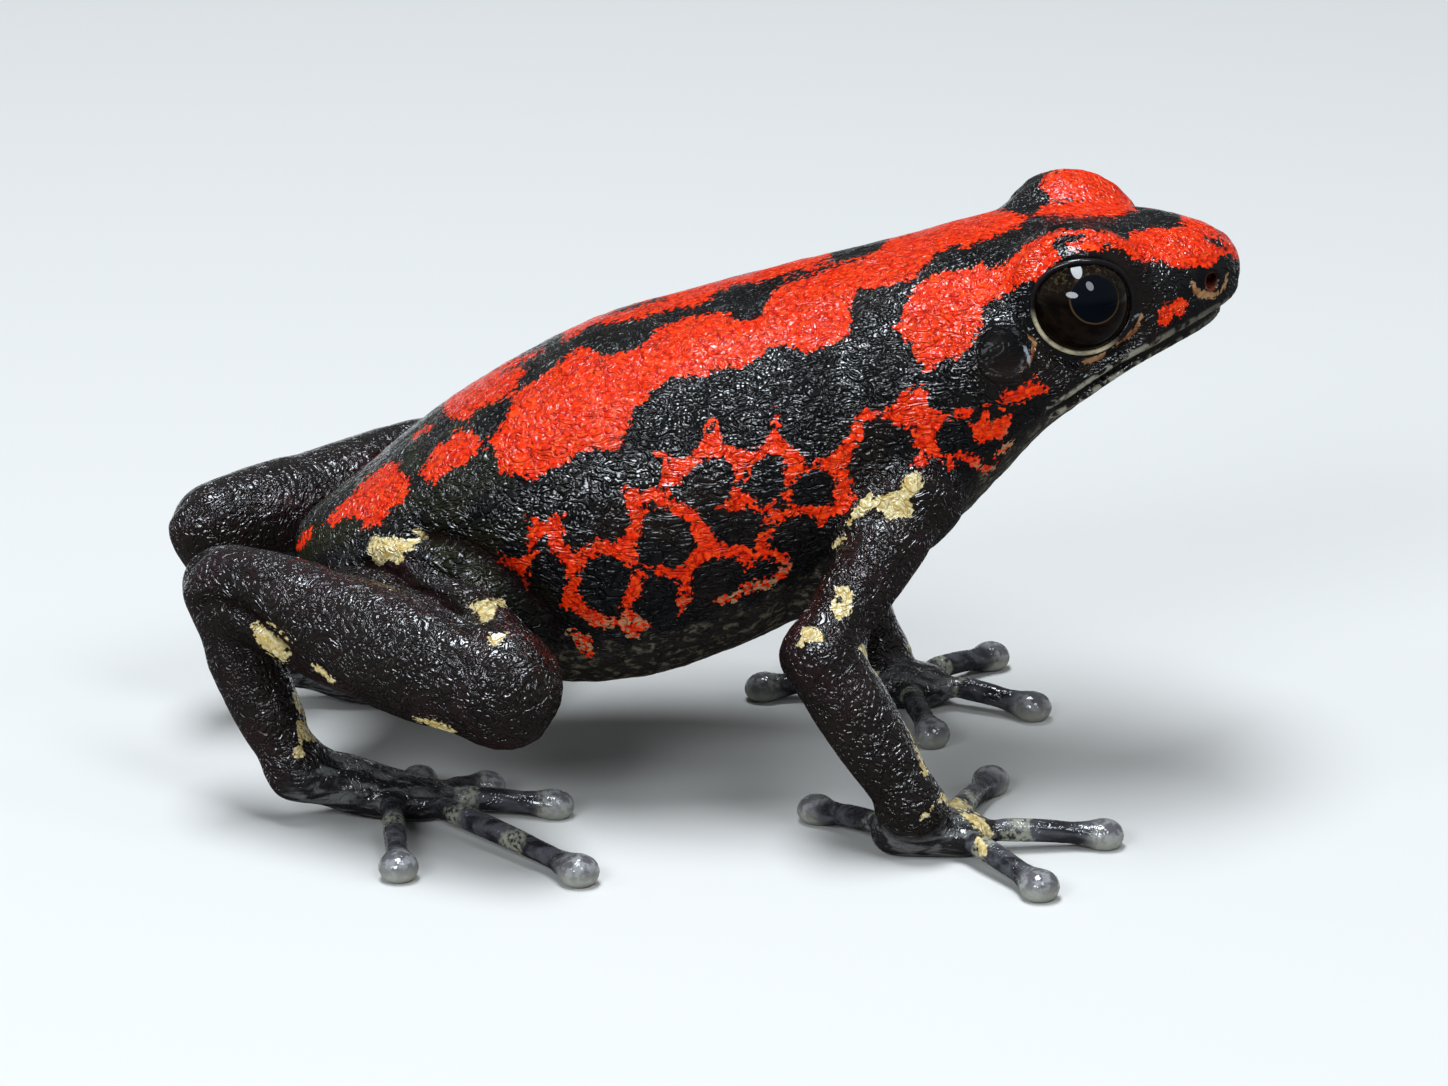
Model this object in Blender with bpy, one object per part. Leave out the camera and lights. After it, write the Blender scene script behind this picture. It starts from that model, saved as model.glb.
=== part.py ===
"""A small red and black poison frog at life size, standing on all four feet with its head raised.

The frog faces +X, its left side is +Y, and the floor is z = 0. Tables and points are in
millimetres and become metres as each mesh is made. The body is one loft that thin planes part
into trunk, head and lower jaw. Each limb is a row of rounded lofts, parted at the joints.
"""

import math

import bmesh
import bpy
from mathutils import Matrix, Vector
from mathutils.bvhtree import BVHTree

FROG = "poison_frog"
CUTTERS = "cutters"

MM = 0.001
GAP = 0.3
EYE_GAP = 0.2
WELD = 0.002

BODY_SIDES = 28
LIMB_SIDES = 14
DIGIT_SIDES = 8
BALL_SEGMENTS = 20
BALL_RINGS = 12
HOOP_STEPS = 18
HOOP_SIDES = 6
LIP_STEPS = 19
LIP_SIDES = 8

SIDES = {"right": -1, "left": 1}

# The body from vent to snout: how far along, height of the widest line, half width, height of
# the back, height of the belly, and how square the section is above and below (2 is an ellipse).
BODY_STATIONS = [
    (-9.50, 5.15, 0.55, 5.65, 4.70, 2.0, 2.0),
    (-9.00, 5.15, 1.35, 6.05, 4.25, 2.0, 2.0),
    (-8.00, 5.25, 2.35, 6.75, 3.75, 2.1, 2.1),
    (-6.60, 5.35, 3.20, 7.95, 3.05, 2.2, 2.2),
    (-4.80, 5.50, 3.90, 9.15, 2.40, 2.2, 2.2),
    (-2.80, 5.95, 4.30, 10.20, 2.20, 2.2, 2.2),
    (-0.80, 6.50, 4.35, 10.80, 2.60, 2.2, 2.2),
    (1.60, 7.30, 4.15, 11.47, 3.65, 2.2, 2.2),
    (3.90, 8.20, 3.85, 12.04, 5.05, 2.3, 2.1),
    (5.60, 8.90, 3.68, 12.50, 6.38, 2.5, 2.1),
    (7.00, 9.75, 3.55, 12.70, 8.12, 2.6, 2.1),
    (8.20, 10.05, 3.22, 12.70, 9.00, 2.7, 2.2),
    (9.30, 10.35, 2.62, 12.68, 9.58, 2.8, 2.2),
    (10.15, 10.65, 1.92, 12.60, 10.06, 2.7, 2.3),
    (10.80, 11.00, 1.27, 12.44, 10.50, 2.6, 2.3),
    (11.25, 11.32, 0.72, 12.18, 10.95, 2.3, 2.2),
]
VENT_POLE = (-9.72, 0.0, 5.15)
SNOUT_POLE = (11.47, 0.0, 11.65)

# The neck plane leans with the body. The mouth plane climbs from the jaw corner to the snout.
NECK_POINT = (5.15, 0.0, 9.30)
NECK_LEAN = math.radians(14.0)
MOUTH_POINT = (11.0, 0.0, 10.74)
MOUTH_SLOPE = math.radians(19.0)
LIP_START = 7.3
LIP_HALF = 0.2
LIP_STAND = 0.09
JAW_INSET = 0.06

EYE_CENTRE = (7.70, 2.47, 11.50)
EYE_RADIUS = 1.15
EYE_AXIS = (0.16, 1.0, 0.16)
ORBIT_CENTRE = (7.68, 2.02, 11.36)
ORBIT_HALF = (1.86, 1.50, 1.68)
LID_HALF = (1.22, 1.10)
LID_THICKNESS = 0.22
LID_OFFSET = 0.64
NOSTRIL_AT = (10.66, 11.52)
NOSTRIL_RADIUS = 0.24
EAR_AT = (6.02, 10.40)
EAR_RADIUS = 0.54
EAR_RIM = 0.14

# Joints of each limb in the stance.
ARM_JOINTS = {
    "right": {"shoulder": (4.05, -3.2, 7.25), "elbow": (2.05, -5.6, 4.46), "wrist": (4.10, -6.15, 1.20)},
    "left": {"shoulder": (4.05, 3.2, 7.25), "elbow": (2.00, 5.3, 4.40), "wrist": (3.50, 4.25, 1.15)},
}
LEG_JOINTS = {
    "right": {
        "hip": (-7.6, -1.6, 4.70),
        "knee": (-4.75, -6.7, 4.13),
        "heel": (-11.22, -2.95, 5.15),
        "instep": (-9.40, -3.87, 1.15),
    },
    "left": {
        "hip": (-7.6, 1.6, 4.70),
        "knee": (-5.10, 6.5, 5.00),
        "heel": (-11.87, 2.25, 4.65),
        "instep": (-9.95, 3.80, 1.15),
    },
}
FOOT_TURN = {"right": 0.0, "left": math.radians(20.0)}

# Each row: share of the way along the segment, then half width and half height of the section.
UPPER_ARM = [(0.0, 1.10, 1.10), (0.35, 0.97, 0.97), (0.7, 0.82, 0.82), (1.0, 0.82, 0.82)]
FOREARM = [(0.0, 0.82, 0.82), (0.3, 0.90, 0.90), (0.7, 0.80, 0.80), (1.0, 0.66, 0.66)]
THIGH = [(0.0, 1.10, 1.10), (0.4, 1.45, 1.45), (0.75, 1.46, 1.46), (1.0, 1.28, 1.28)]
SHANK = [(0.0, 1.28, 1.28), (0.25, 1.42, 1.42), (0.6, 1.26, 1.26), (0.85, 1.0, 1.0), (1.0, 0.88, 0.88)]
TARSUS = [(0.0, 0.88, 0.88), (0.4, 0.84, 0.84), (0.8, 0.76, 0.76), (1.0, 0.72, 0.72)]

# Palm and sole: forward and outward from the wrist or instep, height above the floor, then half
# width and half height.
PALM = [
    (-0.40, -0.30, 0.50, 0.58, 0.52),
    (0.50, -0.42, 0.47, 0.76, 0.53),
    (1.20, -0.38, 0.42, 0.72, 0.47),
]
SOLE = [
    (0.0, 0.0, 1.15, 0.72, 0.70),
    (1.05, -0.30, 0.80, 0.72, 0.62),
    (2.05, -0.40, 0.48, 0.82, 0.54),
    (2.90, -0.30, 0.40, 0.76, 0.46),
]

# Digits by number from the inner side out: forward and outward of root and of tip from the wrist
# or instep, then the half width of the disc at the tip.
FINGERS = {
    "right": {
        1: ((-0.35, -0.45), (-2.17, -2.31), 0.36),
        2: ((0.65, -0.65), (1.85, -4.15), 0.38),
        3: ((1.20, -0.35), (4.28, -0.65), 0.40),
        4: ((1.00, -0.10), (2.70, 2.57), 0.42),
    },
    "left": {
        1: ((-0.30, -0.10), (-2.74, -0.15), 0.36),
        2: ((0.60, -0.65), (1.20, -3.40), 0.38),
        3: ((1.20, -0.35), (3.61, -1.53), 0.40),
        4: ((1.00, 0.20), (2.75, 2.05), 0.40),
    },
}
TOES = {
    1: ((1.95, -0.55), (2.75, -1.95), 0.30),
    2: ((2.70, -0.50), (4.30, -1.50), 0.32),
    3: ((2.95, -0.20), (5.82, -0.25), 0.36),
    4: ((2.80, 0.05), (6.32, 3.95), 0.46),
    5: ((2.10, 0.20), (2.40, 3.71), 0.42),
}
DIGIT_HALF = 0.27
DIGIT_NECK = 0.25
DIGIT_ARCH = 0.52
DIGIT_LIFT = 0.06
DISC_FLATNESS = 0.75
DISC_SINK = 0.05

BODY_COLOUR = (0.42, 0.020, 0.010)
BLACK_SKIN = (0.012, 0.012, 0.014)
PAD_COLOUR = (0.20, 0.21, 0.22)
EYE_COLOUR = (0.010, 0.008, 0.006)


def material(name, colour, roughness):
    made = bpy.data.materials.new(name)
    made.use_nodes = True
    shader = made.node_tree.nodes["Principled BSDF"]
    shader.inputs["Base Color"].default_value = (*colour, 1.0)
    shader.inputs["Roughness"].default_value = roughness
    shader.inputs["Metallic"].default_value = 0.0
    return made


def rehome(obj, home):
    """Move an object to one collection; what goes to the cutters stays out of the render."""
    for holder in obj.users_collection:
        holder.objects.unlink(obj)
    bpy.data.collections[home].objects.link(obj)
    if home == CUTTERS:
        obj.hide_render = True
        obj.display_type = "WIRE"


def finish_mesh(name, bm, home):
    """Turn a bmesh in millimetres into a smooth object in metres, in the collection `home`."""
    bmesh.ops.remove_doubles(bm, verts=bm.verts, dist=WELD)
    bmesh.ops.recalc_face_normals(bm, faces=bm.faces)
    bmesh.ops.transform(bm, matrix=Matrix.Scale(MM, 4), verts=bm.verts)
    mesh = bpy.data.meshes.new(name)
    bm.to_mesh(mesh)
    bm.free()
    mesh.shade_smooth()
    made = bpy.data.objects.new(name, mesh)
    rehome(made, home)
    return made


def blend_rows(rows, steps):
    """Rows of numbers with `steps` rows for each span, on a smooth curve through the given ones."""
    out = []
    for i in range(len(rows) - 1):
        before = rows[max(i - 1, 0)]
        after = rows[min(i + 2, len(rows) - 1)]
        for k in range(steps):
            t = k / steps
            row = []
            for a, b, c, d in zip(before, rows[i], rows[i + 1], after):
                bend = (2 * a - 5 * b + 4 * c - d) * t + (3 * b - a - 3 * c + d) * t * t
                row.append(b + 0.5 * t * ((c - a) + bend))
            out.append(tuple(row))
    out.append(tuple(rows[-1]))
    return out


def section(centre, across, up, half, rise, drop, sides, square_above=2.0, square_below=2.0):
    """One closed ring with its own rise and squareness above its widest line and below it."""
    ring = []
    for i in range(sides):
        angle = 2 * math.pi * i / sides
        c, s = math.cos(angle), math.sin(angle)
        power = 2 / (square_above if s > 0 else square_below)
        sideways = half * math.copysign(abs(c) ** power, c)
        height = (rise if s > 0 else drop) * math.copysign(abs(s) ** power, s)
        ring.append(centre + across * sideways + up * height)
    return ring


def round_section(centre, across, up, half, tall, sides):
    return section(centre, across, up, half, tall, tall, sides)


def loft(name, rings, first_pole, last_pole, home):
    """Skin the rings with quads and close each end on its pole."""
    bm = bmesh.new()
    rows = [[bm.verts.new(p) for p in ring] for ring in rings]
    count = len(rows[0])
    for near, far in zip(rows, rows[1:]):
        for i in range(count):
            j = (i + 1) % count
            bm.faces.new((near[i], near[j], far[j], far[i]))
    for row, pole in ((rows[0], first_pole), (rows[-1], last_pole)):
        tip = bm.verts.new(pole)
        for i in range(count):
            bm.faces.new((row[i], row[(i + 1) % count], tip))
    return finish_mesh(name, bm, home)


def whole_body(name, grow, home):
    """The body from vent to snout, grown all round by `grow` millimetres."""
    rings = []
    across, up = Vector((0, 1, 0)), Vector((0, 0, 1))
    for along, widest, half, back, belly, above, below in blend_rows(BODY_STATIONS, 2):
        centre = Vector((along, 0.0, widest))
        rise, drop = back - widest + grow, widest - belly + grow
        rings.append(section(centre, across, up, half + grow, rise, drop, BODY_SIDES, above, below))
    vent = Vector(VENT_POLE) - Vector((grow, 0, 0))
    snout = Vector(SNOUT_POLE) + Vector((grow, 0, 0))
    return loft(name, rings, vent, snout, home)


def rounded_limb(name, joints, home, sides=LIMB_SIDES, grow=0.0, steps=3):
    """A loft along joints of (x, y, z, half width, half height), with round ends."""
    rows = blend_rows(joints, steps)
    points = [Vector(row[:3]) for row in rows]
    tangents = []
    for i in range(len(points)):
        ahead = points[min(i + 1, len(points) - 1)]
        behind = points[max(i - 1, 0)]
        tangents.append((ahead - behind).normalized())
    across = Vector((0, 0, 1)).cross(tangents[0])
    if across.length < 0.2:
        across = Vector((0, 1, 0))
    cap_turns = [math.radians(a) for a in (62, 34)]
    rings = []
    for i, (point, tangent, row) in enumerate(zip(points, tangents, rows)):
        across = (across - tangent * across.dot(tangent)).normalized()
        up = tangent.cross(across)
        half, tall = row[3] + grow, row[4] + grow
        if i == 0:
            for turn in cap_turns:
                back = point - tangent * min(half, tall) * math.sin(turn)
                shrink = math.cos(turn)
                rings.append(round_section(back, across, up, half * shrink, tall * shrink, sides))
        rings.append(round_section(point, across, up, half, tall, sides))
        if i == len(points) - 1:
            for turn in reversed(cap_turns):
                front = point + tangent * min(half, tall) * math.sin(turn)
                shrink = math.cos(turn)
                rings.append(round_section(front, across, up, half * shrink, tall * shrink, sides))
    first_reach = min(rows[0][3], rows[0][4]) + grow
    last_reach = min(rows[-1][3], rows[-1][4]) + grow
    first_pole = points[0] - tangents[0] * first_reach
    last_pole = points[-1] + tangents[-1] * last_reach
    return loft(name, rings, first_pole, last_pole, home)


def along_segment(start, end, profile):
    """Joints for a limb from a profile of shares and half sizes."""
    start, end = Vector(start), Vector(end)
    return [(*start.lerp(end, share), half, tall) for share, half, tall in profile]


def ball(name, centre, half, home):
    bm = bmesh.new()
    stretch = Matrix.Translation(Vector(centre)) @ Matrix.Diagonal((*half, 1.0))
    bmesh.ops.create_uvsphere(bm, u_segments=BALL_SEGMENTS, v_segments=BALL_RINGS, radius=1.0, matrix=stretch)
    return finish_mesh(name, bm, home)


def hoop(name, centre, axis, halves, thickness, home):
    """A torus stretched to its `halves` along and across, with its axis along `axis`."""
    axis = Vector(axis).normalized()
    along = (Vector((1, 0, 0)) - axis * axis.x).normalized()
    turn = Matrix((along, axis.cross(along), axis)).transposed().to_4x4()
    bpy.ops.mesh.primitive_torus_add(
        major_segments=HOOP_STEPS,
        minor_segments=HOOP_SIDES,
        major_radius=halves[0] * MM,
        minor_radius=thickness * MM,
    )
    made = bpy.context.object
    made.name = name
    stretch = Matrix.Diagonal((1.0, halves[1] / halves[0], 1.0, 1.0))
    made.data.transform(Matrix.Translation(Vector(centre) * MM) @ turn @ stretch)
    rehome(made, home)
    return made


def apply_modifiers(obj):
    """Replace an object's mesh by its evaluated one, keeping the largest closed surface."""
    graph = bpy.context.evaluated_depsgraph_get()
    mesh = bpy.data.meshes.new_from_object(obj.evaluated_get(graph))
    obj.modifiers.clear()
    obj.data = mesh
    keep_largest(obj)


def keep_largest(obj):
    bm = bmesh.new()
    bm.from_mesh(obj.data)
    unseen = set(bm.verts)
    islands = []
    while unseen:
        stack = [unseen.pop()]
        island = set(stack)
        while stack:
            for edge in stack.pop().link_edges:
                for vert in edge.verts:
                    if vert in unseen:
                        unseen.remove(vert)
                        island.add(vert)
                        stack.append(vert)
        islands.append(island)
    islands.sort(key=len, reverse=True)
    for island in islands[1:]:
        bmesh.ops.delete(bm, geom=list(island), context="VERTS")
    bmesh.ops.remove_doubles(bm, verts=bm.verts, dist=WELD * MM)
    bm.to_mesh(obj.data)
    bm.free()


def carve(obj, *cutters):
    """Cut closed shapes out of an object and remove them."""
    for cutter in cutters:
        cut = obj.modifiers.new("cut", "BOOLEAN")
        cut.operation = "DIFFERENCE"
        cut.solver = "EXACT"
        cut.object = cutter
    bpy.context.view_layer.update()
    apply_modifiers(obj)
    for cutter in cutters:
        bpy.data.objects.remove(cutter)


def fuse(obj, pieces):
    """Join closed pieces into an object with one union on their collection."""
    group = bpy.data.collections.new("to_fuse")
    bpy.context.scene.collection.children.link(group)
    for piece in pieces:
        rehome(piece, group.name)
    union = obj.modifiers.new("fuse", "BOOLEAN")
    union.operation = "UNION"
    union.solver = "EXACT"
    union.operand_type = "COLLECTION"
    union.collection = group
    bpy.context.view_layer.update()
    apply_modifiers(obj)
    for piece in pieces:
        bpy.data.objects.remove(piece)
    bpy.data.collections.remove(group)


def keep_side(obj, point, normal):
    """Keep what lies on the side of a plane that its normal points to, and close the cut."""
    bm = bmesh.new()
    bm.from_mesh(obj.data)
    geometry = bm.verts[:] + bm.edges[:] + bm.faces[:]
    place = Vector(point) * MM
    bmesh.ops.bisect_plane(
        bm, geom=geometry, dist=1e-7, plane_co=place, plane_no=Vector(normal), clear_inner=True
    )
    rim = [edge for edge in bm.edges if edge.is_boundary]
    bmesh.ops.holes_fill(bm, edges=rim, sides=0)
    bmesh.ops.remove_doubles(bm, verts=bm.verts, dist=WELD * MM)
    bmesh.ops.triangulate(bm, faces=[face for face in bm.faces if len(face.verts) > 4])
    bmesh.ops.recalc_face_normals(bm, faces=bm.faces)
    bm.to_mesh(obj.data)
    bm.free()


def part_at_joint(first, second, before, joint, after):
    """Part two limb pieces with the plane that halves the angle at their joint."""
    joint = Vector(joint)
    back = (Vector(before) - joint).normalized()
    forth = (Vector(after) - joint).normalized()
    normal = (back - forth).normalized()
    keep_side(first, joint + normal * GAP / 2, normal)
    keep_side(second, joint - normal * GAP / 2, -normal)


def mirrored(point, side):
    return Vector((point[0], point[1] * side, point[2]))


def surface_spot(obj, along, height, side):
    """Where a line from the side meets the object, and the way its face points there."""
    tree = BVHTree.FromObject(obj, bpy.context.evaluated_depsgraph_get())
    start = Vector((along, side * 20.0, height)) * MM
    place, normal, _, _ = tree.ray_cast(start, Vector((0, -side, 0)))
    return place / MM, normal


def neck_normal():
    return Vector((math.cos(NECK_LEAN), 0, math.sin(NECK_LEAN)))


def mouth_normal():
    return Vector((-math.sin(MOUTH_SLOPE), 0, math.cos(MOUTH_SLOPE)))


def lip_roll(name, body):
    """A roll that follows the mouth plane round the outside of the snout."""
    tree = BVHTree.FromObject(body, bpy.context.evaluated_depsgraph_get())
    forward = Vector((math.cos(MOUTH_SLOPE), 0, math.sin(MOUTH_SLOPE)))
    middle = Vector(MOUTH_POINT) + forward * (LIP_START - MOUTH_POINT[0])
    joints = []
    for i in range(LIP_STEPS):
        turn = math.radians(-100 + 200 * i / (LIP_STEPS - 1))
        way = forward * math.cos(turn) + Vector((0, math.sin(turn), 0))
        place, _, _, _ = tree.ray_cast(middle * MM, way)
        place = place / MM - way * (LIP_HALF - LIP_STAND)
        joints.append((*place, LIP_HALF, LIP_HALF))
    return rounded_limb(name, joints, CUTTERS, LIP_SIDES, 0.0, 1)


def build_trunk():
    trunk = whole_body("trunk", 0.0, FROG)
    keep_side(trunk, Vector(NECK_POINT) - neck_normal() * GAP / 2, -neck_normal())
    return trunk


def build_jaw():
    jaw = whole_body("lower_jaw", -JAW_INSET, FROG)
    fuse(jaw, [lip_roll("lower_lip", jaw)])
    keep_side(jaw, Vector(NECK_POINT) + neck_normal() * GAP / 2, neck_normal())
    keep_side(jaw, Vector(MOUTH_POINT) - mouth_normal() * GAP / 2, -mouth_normal())
    return jaw


def build_head():
    """The head above the mouth line, with orbits, lids, ear rims, sockets and nostrils."""
    head = whole_body("head", 0.0, FROG)
    pieces = [lip_roll("upper_lip", head)]
    cutters = []
    for name, side in SIDES.items():
        eye = mirrored(EYE_CENTRE, side)
        axis = mirrored(EYE_AXIS, side).normalized()
        ear, ear_way = surface_spot(head, *EAR_AT, side)
        nostril, _ = surface_spot(head, *NOSTRIL_AT, side)
        ear_halves = (EAR_RADIUS, EAR_RADIUS)
        socket = EYE_RADIUS + EYE_GAP
        pieces.append(ball("orbit_" + name, mirrored(ORBIT_CENTRE, side), ORBIT_HALF, CUTTERS))
        pieces.append(hoop("lid_" + name, eye + axis * LID_OFFSET, axis, LID_HALF, LID_THICKNESS, CUTTERS))
        pieces.append(hoop("ear_" + name, ear, ear_way, ear_halves, EAR_RIM, CUTTERS))
        cutters.append(ball("socket_" + name, eye, (socket,) * 3, CUTTERS))
        cutters.append(ball("nostril_cut_" + name, nostril, (NOSTRIL_RADIUS,) * 3, CUTTERS))
    fuse(head, pieces)
    keep_side(head, Vector(NECK_POINT) + neck_normal() * GAP / 2, neck_normal())
    keep_side(head, Vector(MOUTH_POINT) + mouth_normal() * GAP / 2, mouth_normal())
    carve(head, *cutters)
    return head


def build_eyes():
    eyes = []
    for name, side in SIDES.items():
        eyes.append(ball("eye_" + name, mirrored(EYE_CENTRE, side), (EYE_RADIUS,) * 3, FROG))
    return eyes


def floor_spot(origin, side, turn, forward, outward):
    """A spot beside the wrist or instep, after the hand or foot has turned outward."""
    ahead = forward * math.cos(turn) - outward * math.sin(turn)
    out = forward * math.sin(turn) + outward * math.cos(turn)
    return origin[0] + ahead, origin[1] + side * out


def floor_joints(rows, origin, side, turn):
    joints = []
    for forward, outward, up, half, tall in rows:
        joints.append((*floor_spot(origin, side, turn, forward, outward), up, half, tall))
    return joints


def digit_joints(root, tip, disc):
    """A digit that arches a little and ends in a round disc on the floor."""
    disc_tall = disc * DISC_FLATNESS
    start = Vector((*root, DIGIT_ARCH))
    end = Vector((*tip, disc_tall - DISC_SINK))
    reach = (end - start).length
    rows = [(0.0, DIGIT_HALF, DIGIT_HALF, 0.0)]
    rows.append((0.5, DIGIT_HALF, DIGIT_HALF, DIGIT_LIFT))
    rows.append((1.0 - 1.35 * disc / reach, DIGIT_NECK, DIGIT_NECK, DIGIT_LIFT / 2))
    rows.append((1.0 - 0.55 * disc / reach, disc * 0.86, disc_tall * 0.92, 0.0))
    rows.append((1.0, disc, disc_tall, 0.0))
    joints = []
    for share, half, tall, lift in rows:
        spot = start.lerp(end, share)
        joints.append((spot.x, spot.y, spot.z + lift, half, tall))
    return joints


def build_digits(kind, table, origin, side_name, turn, parent_rows):
    """The fingers or toes of one hand or foot, each cut clear of what it grows from."""
    side = SIDES[side_name]
    digits = []
    for number, (root, tip, disc) in table.items():
        name = f"{kind}_{side_name}_{number}"
        start = floor_spot(origin, side, turn, *root)
        end = floor_spot(origin, side, turn, *tip)
        digit = rounded_limb(name, digit_joints(start, end, disc), FROG, DIGIT_SIDES, 0.0, 2)
        carve(digit, rounded_limb(name + "_root", parent_rows, CUTTERS, LIMB_SIDES, GAP))
        digits.append(digit)
    return digits


def build_arm(side_name):
    joints = ARM_JOINTS[side_name]
    shoulder, elbow, wrist = joints["shoulder"], joints["elbow"], joints["wrist"]
    palm_rows = floor_joints(PALM, wrist, SIDES[side_name], 0.0)
    upper = rounded_limb("upper_arm_" + side_name, along_segment(shoulder, elbow, UPPER_ARM), FROG)
    lower = rounded_limb("forearm_" + side_name, along_segment(elbow, wrist, FOREARM), FROG)
    palm = rounded_limb("hand_" + side_name, palm_rows, FROG)
    part_at_joint(upper, lower, shoulder, elbow, wrist)
    carve(upper, whole_body("shoulder_cut", GAP, CUTTERS))
    carve(lower, rounded_limb("wrist_cut", palm_rows, CUTTERS, LIMB_SIDES, GAP))
    digits = build_digits("finger", FINGERS[side_name], wrist, side_name, 0.0, palm_rows)
    return [upper, lower], [palm, *digits]


def build_leg(side_name):
    joints = LEG_JOINTS[side_name]
    hip, knee, heel, instep = joints["hip"], joints["knee"], joints["heel"], joints["instep"]
    turn = FOOT_TURN[side_name]
    sole_rows = floor_joints(SOLE, instep, SIDES[side_name], turn)
    thigh = rounded_limb("thigh_" + side_name, along_segment(hip, knee, THIGH), FROG)
    shank = rounded_limb("shank_" + side_name, along_segment(knee, heel, SHANK), FROG)
    tarsus = rounded_limb("tarsus_" + side_name, along_segment(heel, instep, TARSUS), FROG)
    sole = rounded_limb("foot_" + side_name, sole_rows, FROG)
    part_at_joint(thigh, shank, hip, knee, heel)
    part_at_joint(shank, tarsus, knee, heel, instep)
    part_at_joint(tarsus, sole, heel, instep, sole_rows[1][:3])
    carve(thigh, whole_body("hip_cut", GAP, CUTTERS))
    digits = build_digits("toe", TOES, instep, side_name, turn, sole_rows)
    return [thigh, shank, tarsus], [sole, *digits]


def centre_on_origin(objects):
    """Hang everything on one empty, set so that the origin lies under the frog's middle."""
    corners = [vert.co for obj in objects for vert in obj.data.vertices]
    middle_x = (min(c.x for c in corners) + max(c.x for c in corners)) / 2
    middle_y = (min(c.y for c in corners) + max(c.y for c in corners)) / 2
    root = bpy.data.objects.new("frog_root", None)
    bpy.data.collections[FROG].objects.link(root)
    root.location = (-middle_x, -middle_y, 0)
    for obj in objects:
        obj.parent = root


def dress(objects, look):
    for obj in objects:
        obj.data.materials.clear()
        obj.data.materials.append(look)


def main():
    for obj in list(bpy.data.objects):
        bpy.data.objects.remove(obj)
    for name in (FROG, CUTTERS):
        bpy.context.scene.collection.children.link(bpy.data.collections.new(name))
    bpy.data.collections[CUTTERS].hide_render = True
    body = [build_trunk(), build_head()]
    jaw = build_jaw()
    eyes = build_eyes()
    limbs = []
    feet = []
    for side_name in SIDES:
        for build in (build_arm, build_leg):
            segments, grounded = build(side_name)
            limbs += segments
            feet += grounded
    for obj in feet:
        keep_side(obj, (0, 0, 0), (0, 0, 1))
    centre_on_origin([*body, jaw, *eyes, *limbs, *feet])
    dress(body, material("spotted_skin", BODY_COLOUR, 0.35))
    dress([jaw, *limbs], material("black_skin", BLACK_SKIN, 0.3))
    dress(feet, material("grey_skin", PAD_COLOUR, 0.3))
    dress(eyes, material("eye", EYE_COLOUR, 0.05))


main()
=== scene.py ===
# %% [markdown]
# # A poison frog at life size
#
# The real animal is 21 mm long: a small glossy frog, red over the back, black
# on the flank with a red net round black spots, and cream flecks on the limbs.
# The frame holds plain solids, one for each piece of the body. They say where
# everything is. This lesson lays one skin over them, sets in detailed eyes,
# and paints both with node materials. Lengths in it are in millimetres.

# %% Load the frame
import math

import bmesh
import bpy
import numpy as np
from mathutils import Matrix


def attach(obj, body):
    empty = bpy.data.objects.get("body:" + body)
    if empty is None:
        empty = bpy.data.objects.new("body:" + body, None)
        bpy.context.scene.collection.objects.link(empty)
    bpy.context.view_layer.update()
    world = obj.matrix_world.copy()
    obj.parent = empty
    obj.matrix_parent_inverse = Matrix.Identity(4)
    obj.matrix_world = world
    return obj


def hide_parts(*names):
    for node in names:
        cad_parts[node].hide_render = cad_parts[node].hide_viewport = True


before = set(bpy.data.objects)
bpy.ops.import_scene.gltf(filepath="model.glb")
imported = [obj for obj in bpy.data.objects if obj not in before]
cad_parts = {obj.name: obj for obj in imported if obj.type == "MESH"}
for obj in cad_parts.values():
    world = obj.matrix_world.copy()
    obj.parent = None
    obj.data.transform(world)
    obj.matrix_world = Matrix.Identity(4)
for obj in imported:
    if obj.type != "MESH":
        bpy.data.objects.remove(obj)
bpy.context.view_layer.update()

import openvdb as vdb
from mathutils import Vector
from mathutils.bvhtree import BVHTree

HOME = np.array((0.6345, -0.4883, 0.0))  # the frog's mid plane and centre in the frame
flesh = [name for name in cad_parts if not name.startswith("eye")]


def to_frame(points):
    """Millimetres about the frog's mid plane to metres in the frame."""
    return (np.asarray(points, float) + HOME) / 1000


# %% [markdown]
# ## Camera
#
# A macro photograph is taken from close by with a long lens. Seen from the
# right side and a little above, 180 mm away, a lens of 201 mm frames the frog.
# A direction and a distance are easier to keep than a typed-in rotation, so
# the camera is placed by them and turned with a track quaternion. Two unit
# vectors are kept: along the body, and up in the picture. They serve later to
# say where a marking sits as it is seen from this side.

# %% Camera
VIEW_RISE = math.radians(18.5)
VIEW_MIDDLE = np.array((0.0, 0.0, 5.14))
VIEW_AWAY = 180.0
to_viewer = np.array((0.0, -math.cos(VIEW_RISE), math.sin(VIEW_RISE)))
view_up = np.array((0.0, math.sin(VIEW_RISE), math.cos(VIEW_RISE)))


def placed(name, data):
    """An object that shows some data, linked into the scene."""
    made = bpy.data.objects.new(name, data)
    bpy.context.scene.collection.objects.link(made)
    return made


camera_data = bpy.data.cameras.new("camera")
camera_data.sensor_width = 36
camera_data.lens = 201.4
camera_data.clip_start = 0.005
camera = placed("camera", camera_data)
camera.location = to_frame(VIEW_MIDDLE + to_viewer * VIEW_AWAY)
camera.rotation_euler = Vector(-to_viewer).to_track_quat("-Z", "Y").to_euler()
bpy.context.scene.camera = camera
print("camera at", tuple(camera.location))


def seen_at(points):
    """Where points show from the viewer's side, in mm: along the body, and up."""
    from_viewer = points - (VIEW_MIDDLE + to_viewer * VIEW_AWAY)
    scale = VIEW_AWAY / -(from_viewer @ to_viewer)
    return np.stack([from_viewer[:, 0] * scale, (from_viewer @ view_up) * scale], axis=1)


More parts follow.
